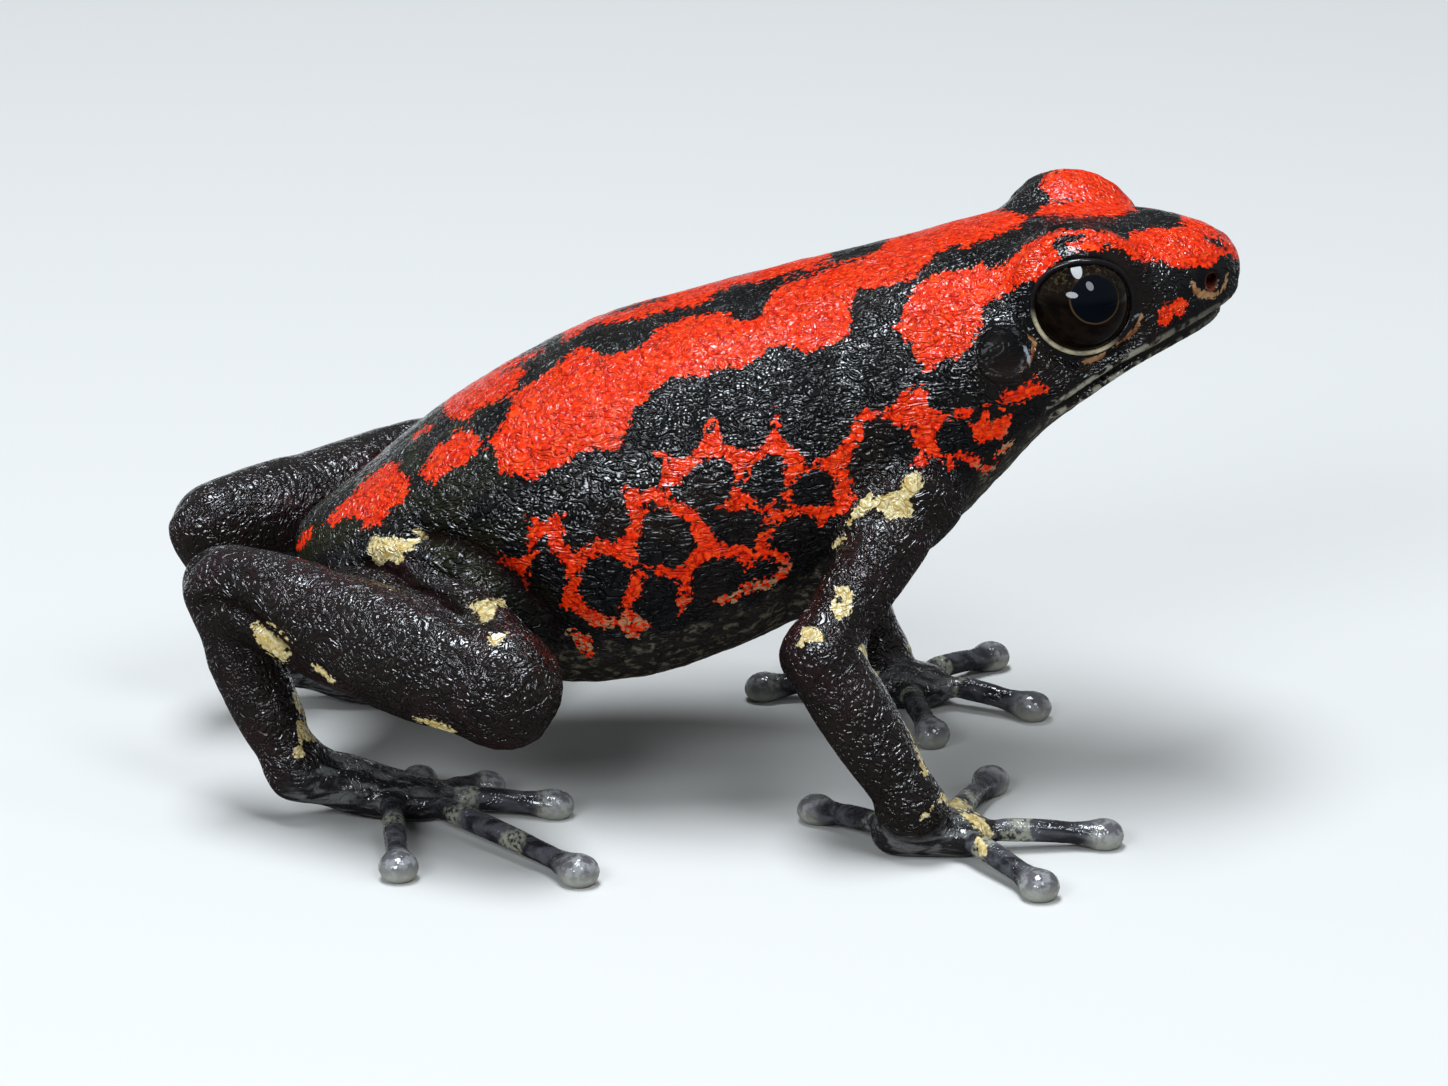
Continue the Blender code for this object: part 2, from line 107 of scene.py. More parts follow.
# %% [markdown]
# ## Light and floor
#
# Wet skin shows its lamps. A broad oval box overhead gives the white glints
# along the back and the tops of the limbs, and two smaller ones by the camera
# open the flank and light the eye. Two weak ones reach the snout and the rump.
# They are hidden from reflections, or the eye would mirror five lamps. All
# are tinted like an overcast sky. The floor is a plain pale sheet.

# %% Light and floor
SKY = (0.85, 0.92, 1.0)
FLOOR_HALF = 2.0  # in m


def soft_box(name, place, aim, size, watts):
    """An oval lamp of a size in m, at a place in mm and turned to another."""
    data = bpy.data.lights.new(name, "AREA")
    data.shape = "ELLIPSE"
    data.size, data.size_y = size
    data.energy = watts
    data.color = SKY
    lamp = placed(name, data)
    lamp.location = to_frame(place)
    way = Vector(to_frame(aim)) - Vector(lamp.location)
    lamp.rotation_euler = way.to_track_quat("-Z", "Y").to_euler()
    return lamp


soft_box("overhead", (-20, 0, 215), (0, 0, 6), (0.15, 0.07), 0.54)
soft_box("by_camera", (-90, -190, 125), (0, 0, 5), (0.11, 0.06), 0.25)
soft_box("over_camera", (65, -112, 165), (2, 0, 6), (0.06, 0.08), 0.10)
front = soft_box("front", (190, -80, 160), (4, 0, 6), (0.05, 0.08), 0.05)
rear = soft_box("rear", (-200, -60, 150), (-6, 0, 5), (0.05, 0.08), 0.06)
front.visible_glossy = False
rear.visible_glossy = False

world = bpy.data.worlds.new("studio")
world.use_nodes = True
room = world.node_tree.nodes["Background"].inputs
room["Color"].default_value = (0.80, 0.83, 0.85, 1)
room["Strength"].default_value = 0.14
bpy.context.scene.world = world
bpy.context.scene.view_settings.view_transform = "Standard"

paper = bpy.data.materials.new("pale_paper")
paper.use_nodes = True
sheet = paper.node_tree.nodes["Principled BSDF"].inputs
sheet["Base Color"].default_value = (0.62, 0.61, 0.58, 1)
sheet["Roughness"].default_value = 0.95
floor_mesh = bpy.data.meshes.new("floor")
floor_mesh.materials.append(paper)
signs = ((-1, -1), (1, -1), (1, 1), (-1, 1))
floor_mesh.from_pydata([(x * FLOOR_HALF, y * FLOOR_HALF, 0) for x, y in signs], [], [(0, 1, 2, 3)])
floor = placed("floor", floor_mesh)
print("lamps", [lamp.name for lamp in bpy.data.lights])

# %% [markdown]
# ## The frame's flesh as a distance field
#
# The flesh of the frame is in pieces with narrow cuts between them. A real
# skin runs over the joints without a break and folds on their inner side.
# Remeshing could bridge the cuts, but it leaves no handle on the folds. A
# distance field does: each point of a fine grid holds its distance to the
# nearest flesh, so bodies can be softened, joined and cut by plain sums.

# %% The grid
VOXEL = 0.08
grid_scale = vdb.createLinearTransform(VOXEL)


def triangles_of(names):
    """The corners in mm and the triangles of some of the frame's solids."""
    points, faces, start = [], [], 0
    for name in names:
        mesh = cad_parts[name].data
        mesh.calc_loop_triangles()
        corner = np.empty(3 * len(mesh.vertices), np.float32)
        mesh.vertices.foreach_get("co", corner)
        face = np.empty(3 * len(mesh.loop_triangles), np.int32)
        mesh.loop_triangles.foreach_get("vertices", face)
        points.append(corner.reshape(-1, 3) * 1000 - HOME)
        faces.append(face.reshape(-1, 3) + start)
        start += len(mesh.vertices)
    return np.concatenate(points).astype(np.float32), np.concatenate(faces).astype(np.uint32)


corners = triangles_of(flesh)[0]
grid_low = np.floor(corners.min(axis=0) / VOXEL).astype(int) - 12
grid_high = np.ceil(corners.max(axis=0) / VOXEL).astype(int) + 12
axes = [(np.arange(grid_low[i], grid_high[i]) * VOXEL).astype(np.float32) for i in range(3)]
GX, GY, GZ = np.ix_(*axes)
print("grid", [len(a) for a in axes], "voxel", VOXEL, "mm")


def part_of_grid(low, high):
    """The slices of the grid between two corners, and its coordinates there."""
    first = [int(np.clip((low[i] - axes[i][0]) / VOXEL, 0, len(axes[i]) - 1)) for i in range(3)]
    last = [int(np.clip((high[i] - axes[i][0]) / VOXEL + 2, 1, len(axes[i]))) for i in range(3)]
    cut = tuple(slice(a, b) for a, b in zip(first, last))
    return cut, (GX[cut[0]], GY[:, cut[1]], GZ[:, :, cut[2]])


def surface_of(block):
    """Points and four-sided faces where the block passes through zero."""
    grid = vdb.FloatGrid(float(block.max()))
    grid.copyFromArray(block, ijk=tuple(int(i) for i in grid_low))
    grid.transform = grid_scale
    return grid.convertToQuads(0.0)


# %% [markdown]
# ## Soften each length of flesh
#
# The solids are faceted, and flesh isn't. Growing a length of flesh by a
# little more than half a cut, measuring the distance afresh and shrinking it
# back closes its cuts. Averaging the distances over a small neighbourhood
# then rounds the facets away: widely on the trunk, slightly on the fingers
# and toes, or they would melt. Each length is softened by itself, so that
# the folds between two lengths aren't averaged away.

# %% Soften
CLOSE_BY = 0.17
BAND = 0.96  # how far from the surface the distances reach


def averaged(block, reach):
    """A soft average over about that many mm: two passes of a box along each axis."""
    steps = max(1, round(reach / VOXEL))
    for _ in range(2):
        for axis in range(3):
            ends = [(0, 0)] * 3
            ends[axis] = (steps + 1, steps)
            total = np.cumsum(np.pad(block, ends, mode="edge"), axis=axis, dtype=np.float64)
            count = block.shape[axis]
            upper, lower = [slice(None)] * 3, [slice(None)] * 3
            upper[axis] = slice(2 * steps + 1, 2 * steps + 1 + count)
            lower[axis] = slice(0, count)
            block = ((total[tuple(upper)] - total[tuple(lower)]) / (2 * steps + 1)).astype(np.float32)
    return block


def ramp(value, start, end):
    """0 before start, 1 after end, and a smooth turn between."""
    t = np.clip((value - start) / (end - start), 0, 1)
    return t * t * (3 - 2 * t)


def flesh_field(names, reach):
    """Some solids closed and softened: their part of the grid, its coordinates and distances."""
    corners, faces = triangles_of(names)
    cut, at = part_of_grid(corners.min(axis=0) - 1.2, corners.max(axis=0) + 1.2)
    solid = vdb.FloatGrid.createLevelSetFromPolygons(
        corners, triangles=faces, transform=grid_scale, halfWidth=6.0
    )
    points, quads = solid.convertToQuads(CLOSE_BY)
    grown = vdb.FloatGrid.createLevelSetFromPolygons(
        points, quads=quads, transform=grid_scale, halfWidth=BAND / VOXEL
    )
    block = np.zeros([c.stop - c.start for c in cut], np.float32)
    grown.copyToArray(block, ijk=tuple(int(low) + c.start for low, c in zip(grid_low, cut)))
    return cut, at, averaged(block + CLOSE_BY, reach)


# %% [markdown]
# ## One skin, with folds at the joints
#
# The lengths are joined one after another, from the trunk out to the hands
# and feet. Near the joint itself a smooth minimum draws the skin over in a
# round fillet, as it does on the outside of a knee or an elbow. Farther off,
# where thigh and shank or upper arm and forearm are pressed together, the
# same sum with a small softness leaves a sharp crease.

# %% Join the lengths
JOINTS = {
    "right": {
        "arm": [(4.05, -3.2, 7.25), (2.05, -5.6, 4.46), (4.10, -6.15, 1.20)],
        "leg": [(-7.6, -1.6, 4.70), (-4.75, -6.7, 4.13), (-11.22, -2.95, 5.15), (-9.40, -3.87, 1.15)],
    },
    "left": {
        "arm": [(4.05, 3.2, 7.25), (2.00, 5.3, 4.40), (3.50, 4.25, 1.15)],
        "leg": [(-7.6, 1.6, 4.70), (-5.10, 6.5, 5.00), (-11.87, 2.25, 4.65), (-9.95, 3.80, 1.15)],
    },
}
ROUND_SOFT, CREASE_SOFT = 0.50, 0.05
ROUND_FILL, CREASE_FILL = 0.32, 0.17  # half the width of the gaps that the flesh closes
PAD_GROWTH = 0.04  # what averaging takes off the hands and feet


def joined(a, b, soft):
    h = np.clip(0.5 + 0.5 * (b - a) / soft, 0, 1)
    return b * (1 - h) + a * h - soft * h * (1 - h)


def cut_from(a, b, soft):
    return -joined(-a, b, soft)


def unit(v):
    v = np.asarray(v, float)
    return v / np.linalg.norm(v)


cut, at, block = flesh_field(["trunk", "head", "lower_jaw"], 0.30)
skin_field = np.full([len(a) for a in axes], BAND + CLOSE_BY, np.float32)
skin_field[cut] = block
for side_name, limbs in JOINTS.items():
    hand = [n for n in flesh if n.startswith((f"hand_{side_name}", f"finger_{side_name}"))]
    foot = [n for n in flesh if n.startswith((f"foot_{side_name}", f"toe_{side_name}"))]
    for names, reach, joint, over in (
        ([f"upper_arm_{side_name}"], 0.24, limbs["arm"][0], 2.0),
        ([f"forearm_{side_name}"], 0.20, limbs["arm"][1], 1.0),
        (hand, 0.10, limbs["arm"][2], 0.75),
        ([f"thigh_{side_name}"], 0.28, limbs["leg"][0], 2.2),
        ([f"shank_{side_name}"], 0.24, limbs["leg"][1], 1.5),
        ([f"tarsus_{side_name}"], 0.18, limbs["leg"][2], 1.0),
        (foot, 0.10, limbs["leg"][3], 0.85),
    ):
        cut, at, block = flesh_field(names, reach)
        block -= PAD_GROWTH if names in (hand, foot) else 0
        gap = np.sqrt(sum((at[i] - joint[i]) ** 2 for i in range(3)))
        off_joint = ramp(gap, 0.75 * over, 1.2 * over)
        soft = ROUND_SOFT + (CREASE_SOFT - ROUND_SOFT) * off_joint
        fill = ROUND_FILL + (CREASE_FILL - ROUND_FILL) * off_joint
        own = skin_field[cut]
        skin_field[cut] = np.minimum(joined(own, block, soft), (own + block) / 2 - fill)
skin_field = averaged(skin_field, VOXEL)
print("lengths of flesh joined")

# %% [markdown]
# ## Tools for modelling in the field
#
# Forms are now added to the skin and taken from it with a few simple bodies,
# each one a distance formula. Only the part of the grid near a form is
# worked, so each one costs next to nothing.

# %% Field tools


def ball_at(at, centre, half):
    """Distance to an egg-shaped ball."""
    q = [(at[i] - centre[i]) / half[i] for i in range(3)]
    near = np.sqrt(q[0] ** 2 + q[1] ** 2 + q[2] ** 2)
    slope = np.sqrt(sum((q[i] / half[i]) ** 2 for i in range(3))) + 1e-6
    return near * (near - 1) / slope


def along_and_out(at, centre, axis):
    """How far points lie along an axis, out from it, and how far up they lie round it."""
    away = [at[i] - centre[i] for i in range(3)]
    along = sum(away[i] * axis[i] for i in range(3))
    out = np.sqrt(np.maximum(sum(a * a for a in away) - along**2, 0)) + 1e-6
    return along, out, (away[2] - along * axis[2]) / out


def ring_at(at, centre, axis, radius, thick):
    """Distance to a ring about an axis."""
    along, out, _ = along_and_out(at, centre, axis)
    return np.sqrt((out - radius) ** 2 + along**2) - thick


def arch_at(at, centre, axis, radius, thick):
    """Distance to a ring that is full above the axis and fades out below it."""
    along, out, rise = along_and_out(at, centre, axis)
    return np.sqrt((out - radius) ** 2 + along**2) - thick * np.clip(0.5 + rise, 0, 1)


def model(body, sizes, box, soft, take=False):
    """Joins a body of these sizes to the skin, or takes it away, inside a box."""
    cut, at = part_of_grid(*box)
    work = cut_from if take else joined
    skin_field[cut] = work(skin_field[cut], body(at, *sizes), soft)


def around(centre, reach):
    """The two corners of a box about a place."""
    centre = np.array(centre)
    return centre - reach, centre + reach


# %% [markdown]
# ## Fuller joints
#
# Where a folded limb bends, the flesh bulges: the knee is rounder and the heel
# end of the shank thicker than the frame's plain solids, and elbow, wrist and
# ankle are knobs. Balls at the joints and a rod along the shank, softly
# joined, fill them out on both sides. Where two lengths still meet in a
# corner on the outside of a bend, averaging the field there rounds it off.

# %% Knees, heels, elbows, wrists and ankles
KNEE_OFF = (0.02, 0, -0.04)
KNEE_HALF = (1.20, 1.12, 1.25)
KNOB_RADII = (0.84, 0.58, 0.60)  # elbow, wrist and ankle
SHANK_RADII = (0.96, 1.04)
ROUNDED = (("leg", 2, 2.0, 0.42), ("leg", 3, 1.5, 0.30), ("arm", 1, 1.5, 0.26))


def rod_at(at, start, end, start_radius, end_radius):
    """Distance to a rod with round ends and a radius that changes along it."""
    way = end - start
    t = np.clip(sum((at[i] - start[i]) * way[i] for i in range(3)) / (way @ way), 0, 1)
    off = np.sqrt(sum((at[i] - start[i] - t * way[i]) ** 2 for i in range(3)))
    return off - (start_radius + (end_radius - start_radius) * t)


def round_off(centre, reach, width):
    """Rounds every corner of the skin near a place."""
    cut, at = part_of_grid(*around(centre, reach + 2 * width))
    gap = np.sqrt(sum((at[i] - centre[i]) ** 2 for i in range(3)))
    near = ramp(gap, reach, 0.6 * reach)
    skin_field[cut] = skin_field[cut] * (1 - near) + averaged(skin_field[cut], width) * near


for limbs in JOINTS.values():
    knee, heel = np.array(limbs["leg"][1]), np.array(limbs["leg"][2])
    model(ball_at, (knee + KNEE_OFF, KNEE_HALF), around(knee, 2.0), 0.4)
    for joint, radius in zip(limbs["arm"][1:] + limbs["leg"][3:], KNOB_RADII):
        model(ball_at, (joint, [radius] * 3), around(joint, 1.8), 0.40)
    along_shank = unit(knee - heel)
    start = heel + along_shank * 0.4 + (0, 0, 0.20)
    end = heel + along_shank * 2.2 + (0, 0, 0.14)
    box = np.minimum(start, end) - 1.6, np.maximum(start, end) + 1.6
    model(rod_at, (start, end, *SHANK_RADII), box, 0.3)
for limbs in JOINTS.values():
    for limb, joint, reach, width in ROUNDED:
        round_off(limbs[limb][joint], reach, width)
print("joints filled out")

# %% [markdown]
# ## Lids, nostrils, ear discs and mouth
#
# A poison frog has a round bulging eye in a low ring of skin, a small nostril
# with a flap behind it, a bare ear disc behind the eye and a long mouth with
# thin rolled lips. All but the mouth are rings and balls. The mouth is a
# slanting plane: the skin sinks where it crosses that plane and swells a
# little just above and below it.

# %% Head forms
EYE_RADIUS = 1.15


def eye_centre(side):
    return np.array((7.70, 2.47 * side, 11.50))


def eye_axis(side):
    return unit((0.16, 1.0 * side, 0.16))


LID_ALONG = 0.38  # how far out along the axis the lids reach at the corners of the eye


def lid_edge(rise):
    """How far out along the axis the lids reach, by how far up one looks round the eye."""
    return LID_ALONG + np.where(rise > 0, 0.30, 0.08) * rise**2


def lid_at(at, centre, axis):
    """Distance to a thin cap of skin over the ball, open round the axis."""
    along, out, rise = along_and_out(at, centre, axis)
    reach = np.sqrt(out**2 + along**2)
    return -joined(-(reach - 1.27), -(along - lid_edge(rise * out / reach)), 0.10)


def bowl_at(at, centre, axis, radius, depth):
    """Distance to a flat round dish that faces along an axis."""
    along, out, _ = along_and_out(at, centre, axis)
    return np.sqrt((out / radius) ** 2 + (along / depth) ** 2) * depth - depth


BROW = np.array((7.62, 1.96, 11.50))
BROW_HALF = (1.44, 1.00, 1.57)
NOSTRIL = np.array((10.60, 1.12, 11.55))
EAR = np.array((6.05, 3.60, 10.70))
for side in (-1, 1):
    here = np.array((1.0, side, 1.0))
    centre, axis = eye_centre(side), eye_axis(side)
    brow = BROW * here
    model(ball_at, (brow, BROW_HALF), around(brow, 2.4), 0.45)
    model(arch_at, (centre + axis * 0.08, axis, 1.38, 0.22), around(centre, 2.0), 0.16)
    model(arch_at, (centre - axis * 0.25, axis, 1.72, 0.07), around(centre, 2.4), 0.10, take=True)
    model(lid_at, (centre, axis), around(centre, 1.8), 0.14)
    model(ball_at, (centre, [EYE_RADIUS - 0.04] * 3), around(centre, 1.7), 0.02, take=True)

    nostril, nose_axis = NOSTRIL * here, unit((0.50, side, 0.10))
    model(ring_at, (nostril, nose_axis, 0.22, 0.07), around(nostril, 0.8), 0.10)
    hole = nostril + (0.03, 0, 0.02)
    model(ball_at, (hole, (0.14, 0.40, 0.18)), around(nostril, 0.8), 0.05, take=True)
    flap = nostril + np.array((-0.20, -0.02 * side, -0.10))
    model(ball_at, (flap, (0.12, 0.14, 0.20)), around(flap, 0.6), 0.06)

    ear, ear_axis = EAR * here, unit((0.05, side, 0.10))
    model(ring_at, (ear, ear_axis, 0.60, 0.06), around(ear, 1.2), 0.10)
    model(bowl_at, (ear + ear_axis * 0.08, ear_axis, 0.56, 0.07), around(ear, 1.2), 0.05, take=True)

MOUTH_FROM, MOUTH_RISE = 7.1, math.radians(21.5)
mouth_normal = np.array((-math.sin(MOUTH_RISE), 0, math.cos(MOUTH_RISE)))
mouth_point = np.array((11.0, 0, 10.79))


def mouth_height(x, z):
    """How far a point lies above the plane between the lips."""
    bow = 0.25 * np.maximum(1 - ((x - 9.25) / 1.9) ** 2, 0)  # the lips rise a little midway
    return (x - mouth_point[0]) * mouth_normal[0] + (z - bow - mouth_point[2]) * mouth_normal[2]


cut, at = part_of_grid((6.4, -3.8, 7.6), (11.8, 3.8, 12.0))
height = mouth_height(at[0], at[2])
reach = ramp(at[0], MOUTH_FROM - 0.25, MOUTH_FROM + 0.35)
groove = 0.10 * np.exp(-((height / 0.09) ** 2))
rolls = 0.05 * np.exp(-(((np.abs(height) - 0.22) / 0.11) ** 2))
shallow_jaw = 0.21 * np.exp(-(((at[0] - 9.4) / 1.15) ** 2)) * ramp(-height, 0.05, 0.35)
skin_field[cut] += reach * (groove - rolls) + shallow_jaw
print("head forms in place")

# %% [markdown]
# ## Discs on the digits
#
# Every finger and toe ends in a round pad, almost a ball, that grips like a
# wet fingertip. The tip of each digit is the corner of its solid that lies
# farthest from the palm or sole. A ball set just inside it restores the pad
# that the averaging has thinned.

# %% Digit discs
DISC_HALF = (0.42, 0.42, 0.33)
digit_tips = {}
for name in flesh:
    if name.startswith(("finger", "toe")):
        palm = ("hand_" if name.startswith("finger") else "foot_") + name.split("_")[1]
        middle = triangles_of([palm])[0].mean(axis=0)
        corner = triangles_of([name])[0]
        tip = corner[np.argmax(np.linalg.norm(corner - middle, axis=1))].astype(float)
        back = unit((corner.mean(axis=0) - tip) * (1, 1, 0))
        disc = np.array((*(tip + back * DISC_HALF[0])[:2], DISC_HALF[2] - 0.02))
        digit_tips[name] = tip
        neck = disc + back * 0.42 + (0, 0, 0.02)
        model(ball_at, (neck, (0.23, 0.23, 0.19)), around(neck, 0.7), 0.20)
        model(ball_at, (disc, DISC_HALF), around(disc, 0.8), 0.16)
print("discs", len(digit_tips))

# %% [markdown]
# ## From the field to a mesh
#
# The skin is where the field passes through zero. Closing the cuts leaves a
# few tiny voids inside, so only the largest part of the mesh is kept. Meshed
# at the grid's own step it has more faces than a single piece needs, so a
# Decimate modifier collapses the flattest edges first. It works in
# millimetres here, because at life size in metres the edges are too short
# for its sums.

# %% Mesh the skin
MOST_TRIANGLES = 192_000


def mesh_from(name, points, faces):
    """A mesh with these points, as they are, and faces of three or four sides."""
    mesh = bpy.data.meshes.new(name)
    mesh.vertices.add(len(points))
    mesh.vertices.foreach_set("co", np.asarray(points, np.float32).ravel())
    sides = faces.shape[1]
    mesh.loops.add(faces.size)
    mesh.loops.foreach_set("vertex_index", faces.astype(np.int32).ravel())
    mesh.polygons.add(len(faces))
    mesh.polygons.foreach_set("loop_start", np.arange(0, faces.size, sides, dtype=np.int32))
    mesh.update(calc_edges=True)
    return mesh


def points_of(mesh):
    found = np.empty(3 * len(mesh.vertices), np.float32)
    mesh.vertices.foreach_get("co", found)
    return found.reshape(-1, 3).astype(float)


def normals_of(mesh):
    found = np.empty(3 * len(mesh.vertices), np.float32)
    mesh.vertices.foreach_get("normal", found)
    return found.reshape(-1, 3).astype(float)


def largest_part(points, faces):
    """The largest piece of a mesh that hangs together, without the small voids inside it."""
    label = np.arange(len(points))
    while True:
        lowest = label[faces].min(axis=1)
        new = label.copy()
        for corner in faces.T:
            np.minimum.at(new, corner, lowest)
        new = new[new]
        if (new == label).all():
            break
        label = new
    kept = label == np.bincount(label).argmax()
    number = np.cumsum(kept) - 1
    return points[kept], number[faces[kept[faces[:, 0]]]]


def settled(obj):
    """Makes what an object's modifiers give its own mesh, and removes them."""
    graph = bpy.context.evaluated_depsgraph_get()
    done = bpy.data.meshes.new_from_object(obj.evaluated_get(graph))
    obj.modifiers.clear()
    obj.data = done
    return done


points, quads = surface_of(skin_field)
whole = len(points)
points, quads = largest_part(points, quads)
print("points in the skin", len(points), "of", whole)
skin_mesh = mesh_from("skin", points, quads)
skin = placed("skin", skin_mesh)
if 2 * len(quads) > MOST_TRIANGLES:
    skin.modifiers.new("thin", "DECIMATE").ratio = MOST_TRIANGLES / (2 * len(quads))
    skin_mesh = settled(skin)
print("skin faces", len(quads), "then", len(skin_mesh.polygons))

# %% [markdown]
# ## What each point of the skin belongs to
#
# The markings differ from one piece of the body to the next, so every point
# of the skin is told its distance to the trunk and head, to the limbs and to
# the hands and feet. A bounding tree over each set of solids answers that
# quickly. The distances also blend one finish into the next at the joints.

# %% Belonging
spots = points_of(skin_mesh)
normals = normals_of(skin_mesh)


def tree_of(names):
    corner, face = triangles_of(names)
    return BVHTree.FromPolygons(corner.tolist(), face.tolist())


def distance_to(names, places):
    tree = tree_of(names)
    return np.array([tree.find_nearest(Vector(p))[3] for p in places])


SETS = {"body": ["trunk", "head", "lower_jaw"]}
for side in ("right", "left"):
    SETS["arm_" + side] = ["upper_arm_" + side, "forearm_" + side]
    SETS["leg_" + side] = ["thigh_" + side, "shank_" + side, "tarsus_" + side]
    SETS["hand_" + side], SETS["foot_" + side] = ["hand_" + side], ["foot_" + side]
    SETS["digits_" + side] = [n for n in flesh if n.startswith(("finger_" + side, "toe_" + side))]
away = {name: distance_to(nodes, spots) for name, nodes in SETS.items()}


def off_nearest(*starts):
    """How far each point is from the nearest of the sets whose names start so."""
    return np.min([away[name] for name in away if name.startswith(starts)], axis=0)


hands_and_feet = ("hand", "foot", "digits")
body_share = ramp(off_nearest("arm", "leg", *hands_and_feet) - away["body"], -0.12, 0.12)
grey_share = ramp(off_nearest("body", "arm", "leg", "hand", "foot") - off_nearest("digits"), -0.25, 0.35)
palm_share = ramp(off_nearest("body", "arm", "leg") - off_nearest(*hands_and_feet), -0.4, 0.5)
print("points on the body", int((body_share > 0.5).sum()), "on digits", int((grey_share > 0.5).sum()))

# %% [markdown]
# ## Where a far point takes its pattern from
#
# A frog's two sides are nearly alike, but they don't sit in the same pose.
# A point on the far half of the trunk copies the point across the mid plane.
# A point on a far limb is first carried to the same place on the near limb:
# each segment has its own axes, from its two joints and the bend between
# segments, and the point keeps its place along and about them. A slow wave
# then shifts the copy a little, so that the far side isn't a print.

# %% Copy places


def segment_axes(chain, i):
    """The start, the three axes and the length of a limb's segment."""
    start, end = np.array(chain[i]), np.array(chain[i + 1])
    along = unit(end - start)
    other = np.array(chain[i + 2] if i + 2 < len(chain) else chain[i - 1]) - end
    turn = unit(np.cross(along, other)) * (1 if i + 2 < len(chain) else -1)
    return start, np.array([along, np.cross(turn, along), turn]), np.linalg.norm(end - start)


def off_chain(points, chain):
    """For each segment of a chain: how far points lie from it, and how far along, as a share."""
    gaps, shares = [], []
    for start, end in zip(chain, chain[1:]):
        way = end - start
        share = (points - start) @ way / (way @ way)
        reached = np.clip(share, 0, 1)[:, None] * way
        gaps.append(np.linalg.norm(points - start - reached, axis=1))
        shares.append(share)
    return np.array(gaps), shares


across = np.array((1.0, -1.0, 1.0))
facing = normals @ to_viewer
like, like_normal = spots.copy(), normals.copy()
own_view = ramp(facing, 0.0, 0.12)  # upper parts of the far half still show from the near side
far_half = (spots[:, 1] > 0) & (body_share > 0.5)
mirrored = spots * across
mirrored_normal = normals * across
for limb, end_piece in (("arm", "hand"), ("leg", "foot")):
    own = away[limb + "_left"]
    on_limb = (own <= away["body"]) & (own <= away[end_piece + "_left"] + 0.3)
    chain = np.array(JOINTS["left"][limb]) * across
    nearest = np.argmin(off_chain(mirrored, chain)[0], axis=0)
    for i in range(len(chain) - 1):
        start, frame_axes, length = segment_axes(chain, i)
        near_start, near_axes, near_length = segment_axes(JOINTS["right"][limb], i)
        mine = on_limb & (nearest == i) & (spots[:, 1] > 0)
        local = (mirrored[mine] - start) @ frame_axes.T
        local[:, 0] *= near_length / length
        like[mine] = near_start + local @ near_axes
        like_normal[mine] = (mirrored_normal[mine] @ frame_axes.T) @ near_axes
wave = np.stack([
    0.28 * np.sin(1.3 * spots[:, 2] + 0.9 * spots[:, 0] + 1.0) + 0.15 * np.sin(2.9 * spots[:, 0]),
    0.22 * np.sin(1.1 * spots[:, 0] + 2.2) + 0.12 * np.sin(3.1 * spots[:, 2] + 0.5)], axis=1)
near_view = seen_at(spots)
copy_view = np.where(far_half[:, None], seen_at(mirrored) + wave, seen_at(like))
copy_facing = np.where(far_half, mirrored_normal @ to_viewer, like_normal @ to_viewer)
print("far half points", int(far_half.sum()))

# %% [markdown]
# ## Draw the markings
#
# The markings are drawn as a sign painter would lay them out: on a side view,
# in millimetres along the body and up. A patch is an outline. A branch is a
# line with its half width at each point. Both give a signed distance, above
# zero inside, and the largest of them wins. Stored on the points of the skin,
# such a distance stays sharp between them, where a painted colour would blur,
# and the material can still fray its edge.

# %% Marking tools


def outline_depth(at, outline):
    """How deep points lie inside an outline, and below zero outside it."""
    corner = np.asarray(outline, float)
    ahead = np.roll(corner, -1, axis=0)
    depth = np.full(len(at), np.inf)
    inside = np.zeros(len(at), bool)
    for a, b in zip(corner, ahead):
        way = b - a
        t = np.clip(((at - a) @ way) / (way @ way), 0, 1)
        depth = np.minimum(depth, np.linalg.norm(at - a - t[:, None] * way, axis=1))
        if a[1] != b[1]:
            crosses = (a[1] > at[:, 1]) != (b[1] > at[:, 1])
            inside ^= crosses & (at[:, 0] < a[0] + (at[:, 1] - a[1]) * way[0] / way[1])
    return np.where(inside, depth, -depth)


def branch_depth(at, line):
    """How deep points lie inside a line of the half widths it is given."""
    line = [np.array(p, float) for p in line]
    if len(line) == 1:
        line = line * 2
    best = np.full(len(at), -np.inf)
    for a, b in zip(line, line[1:]):
        way = b[:2] - a[:2]
        t = np.clip(((at - a[:2]) @ way) / max(way @ way, 1e-9), 0, 1)
        gap = np.linalg.norm(at - a[:2] - t[:, None] * way, axis=1)
        best = np.maximum(best, a[2] + (b[2] - a[2]) * t - gap)
    return best


def depth_of(at, patches=(), branches=(), soft=0.06):
    """The depth inside any of the patches and branches, softly joined."""
    best = np.full(len(at), -3.0)
    for outline in patches:
        best = -joined(-best, -outline_depth(at, outline), soft)
    for line in branches:
        best = -joined(-best, -branch_depth(at, line), soft)
    return best


def drawn(patches=(), branches=(), web=0.06):
    """The depth on every point of the skin, each from its own place or its copy's."""
    own = depth_of(near_view, patches, branches, web)
    copied = depth_of(copy_view, patches, branches, web)
    share = np.where(far_half, own_view, 1.0)
    share = np.where((spots[:, 1] > 0) & (body_share <= 0.5), 0.0, share)
    return own * share + copied * (1 - share)


# %% [markdown]
# ## Folds where the limbs are pressed together
#
# The shank lies on the thigh and the tarsus on the shank, each with a sharp
# fold along its upper edge. The thigh leaves the flank at the groin, and the
# upper arm leaves it at the armpit, with softer folds. An outline in the side
# view says where the upper length lies. The skin sinks at its edge: steeply
# on its own side, and on the other side with a long slope, so that the upper
# length stands out round. Groin and armpit fold on the near side only, since
# the far side has another pose.

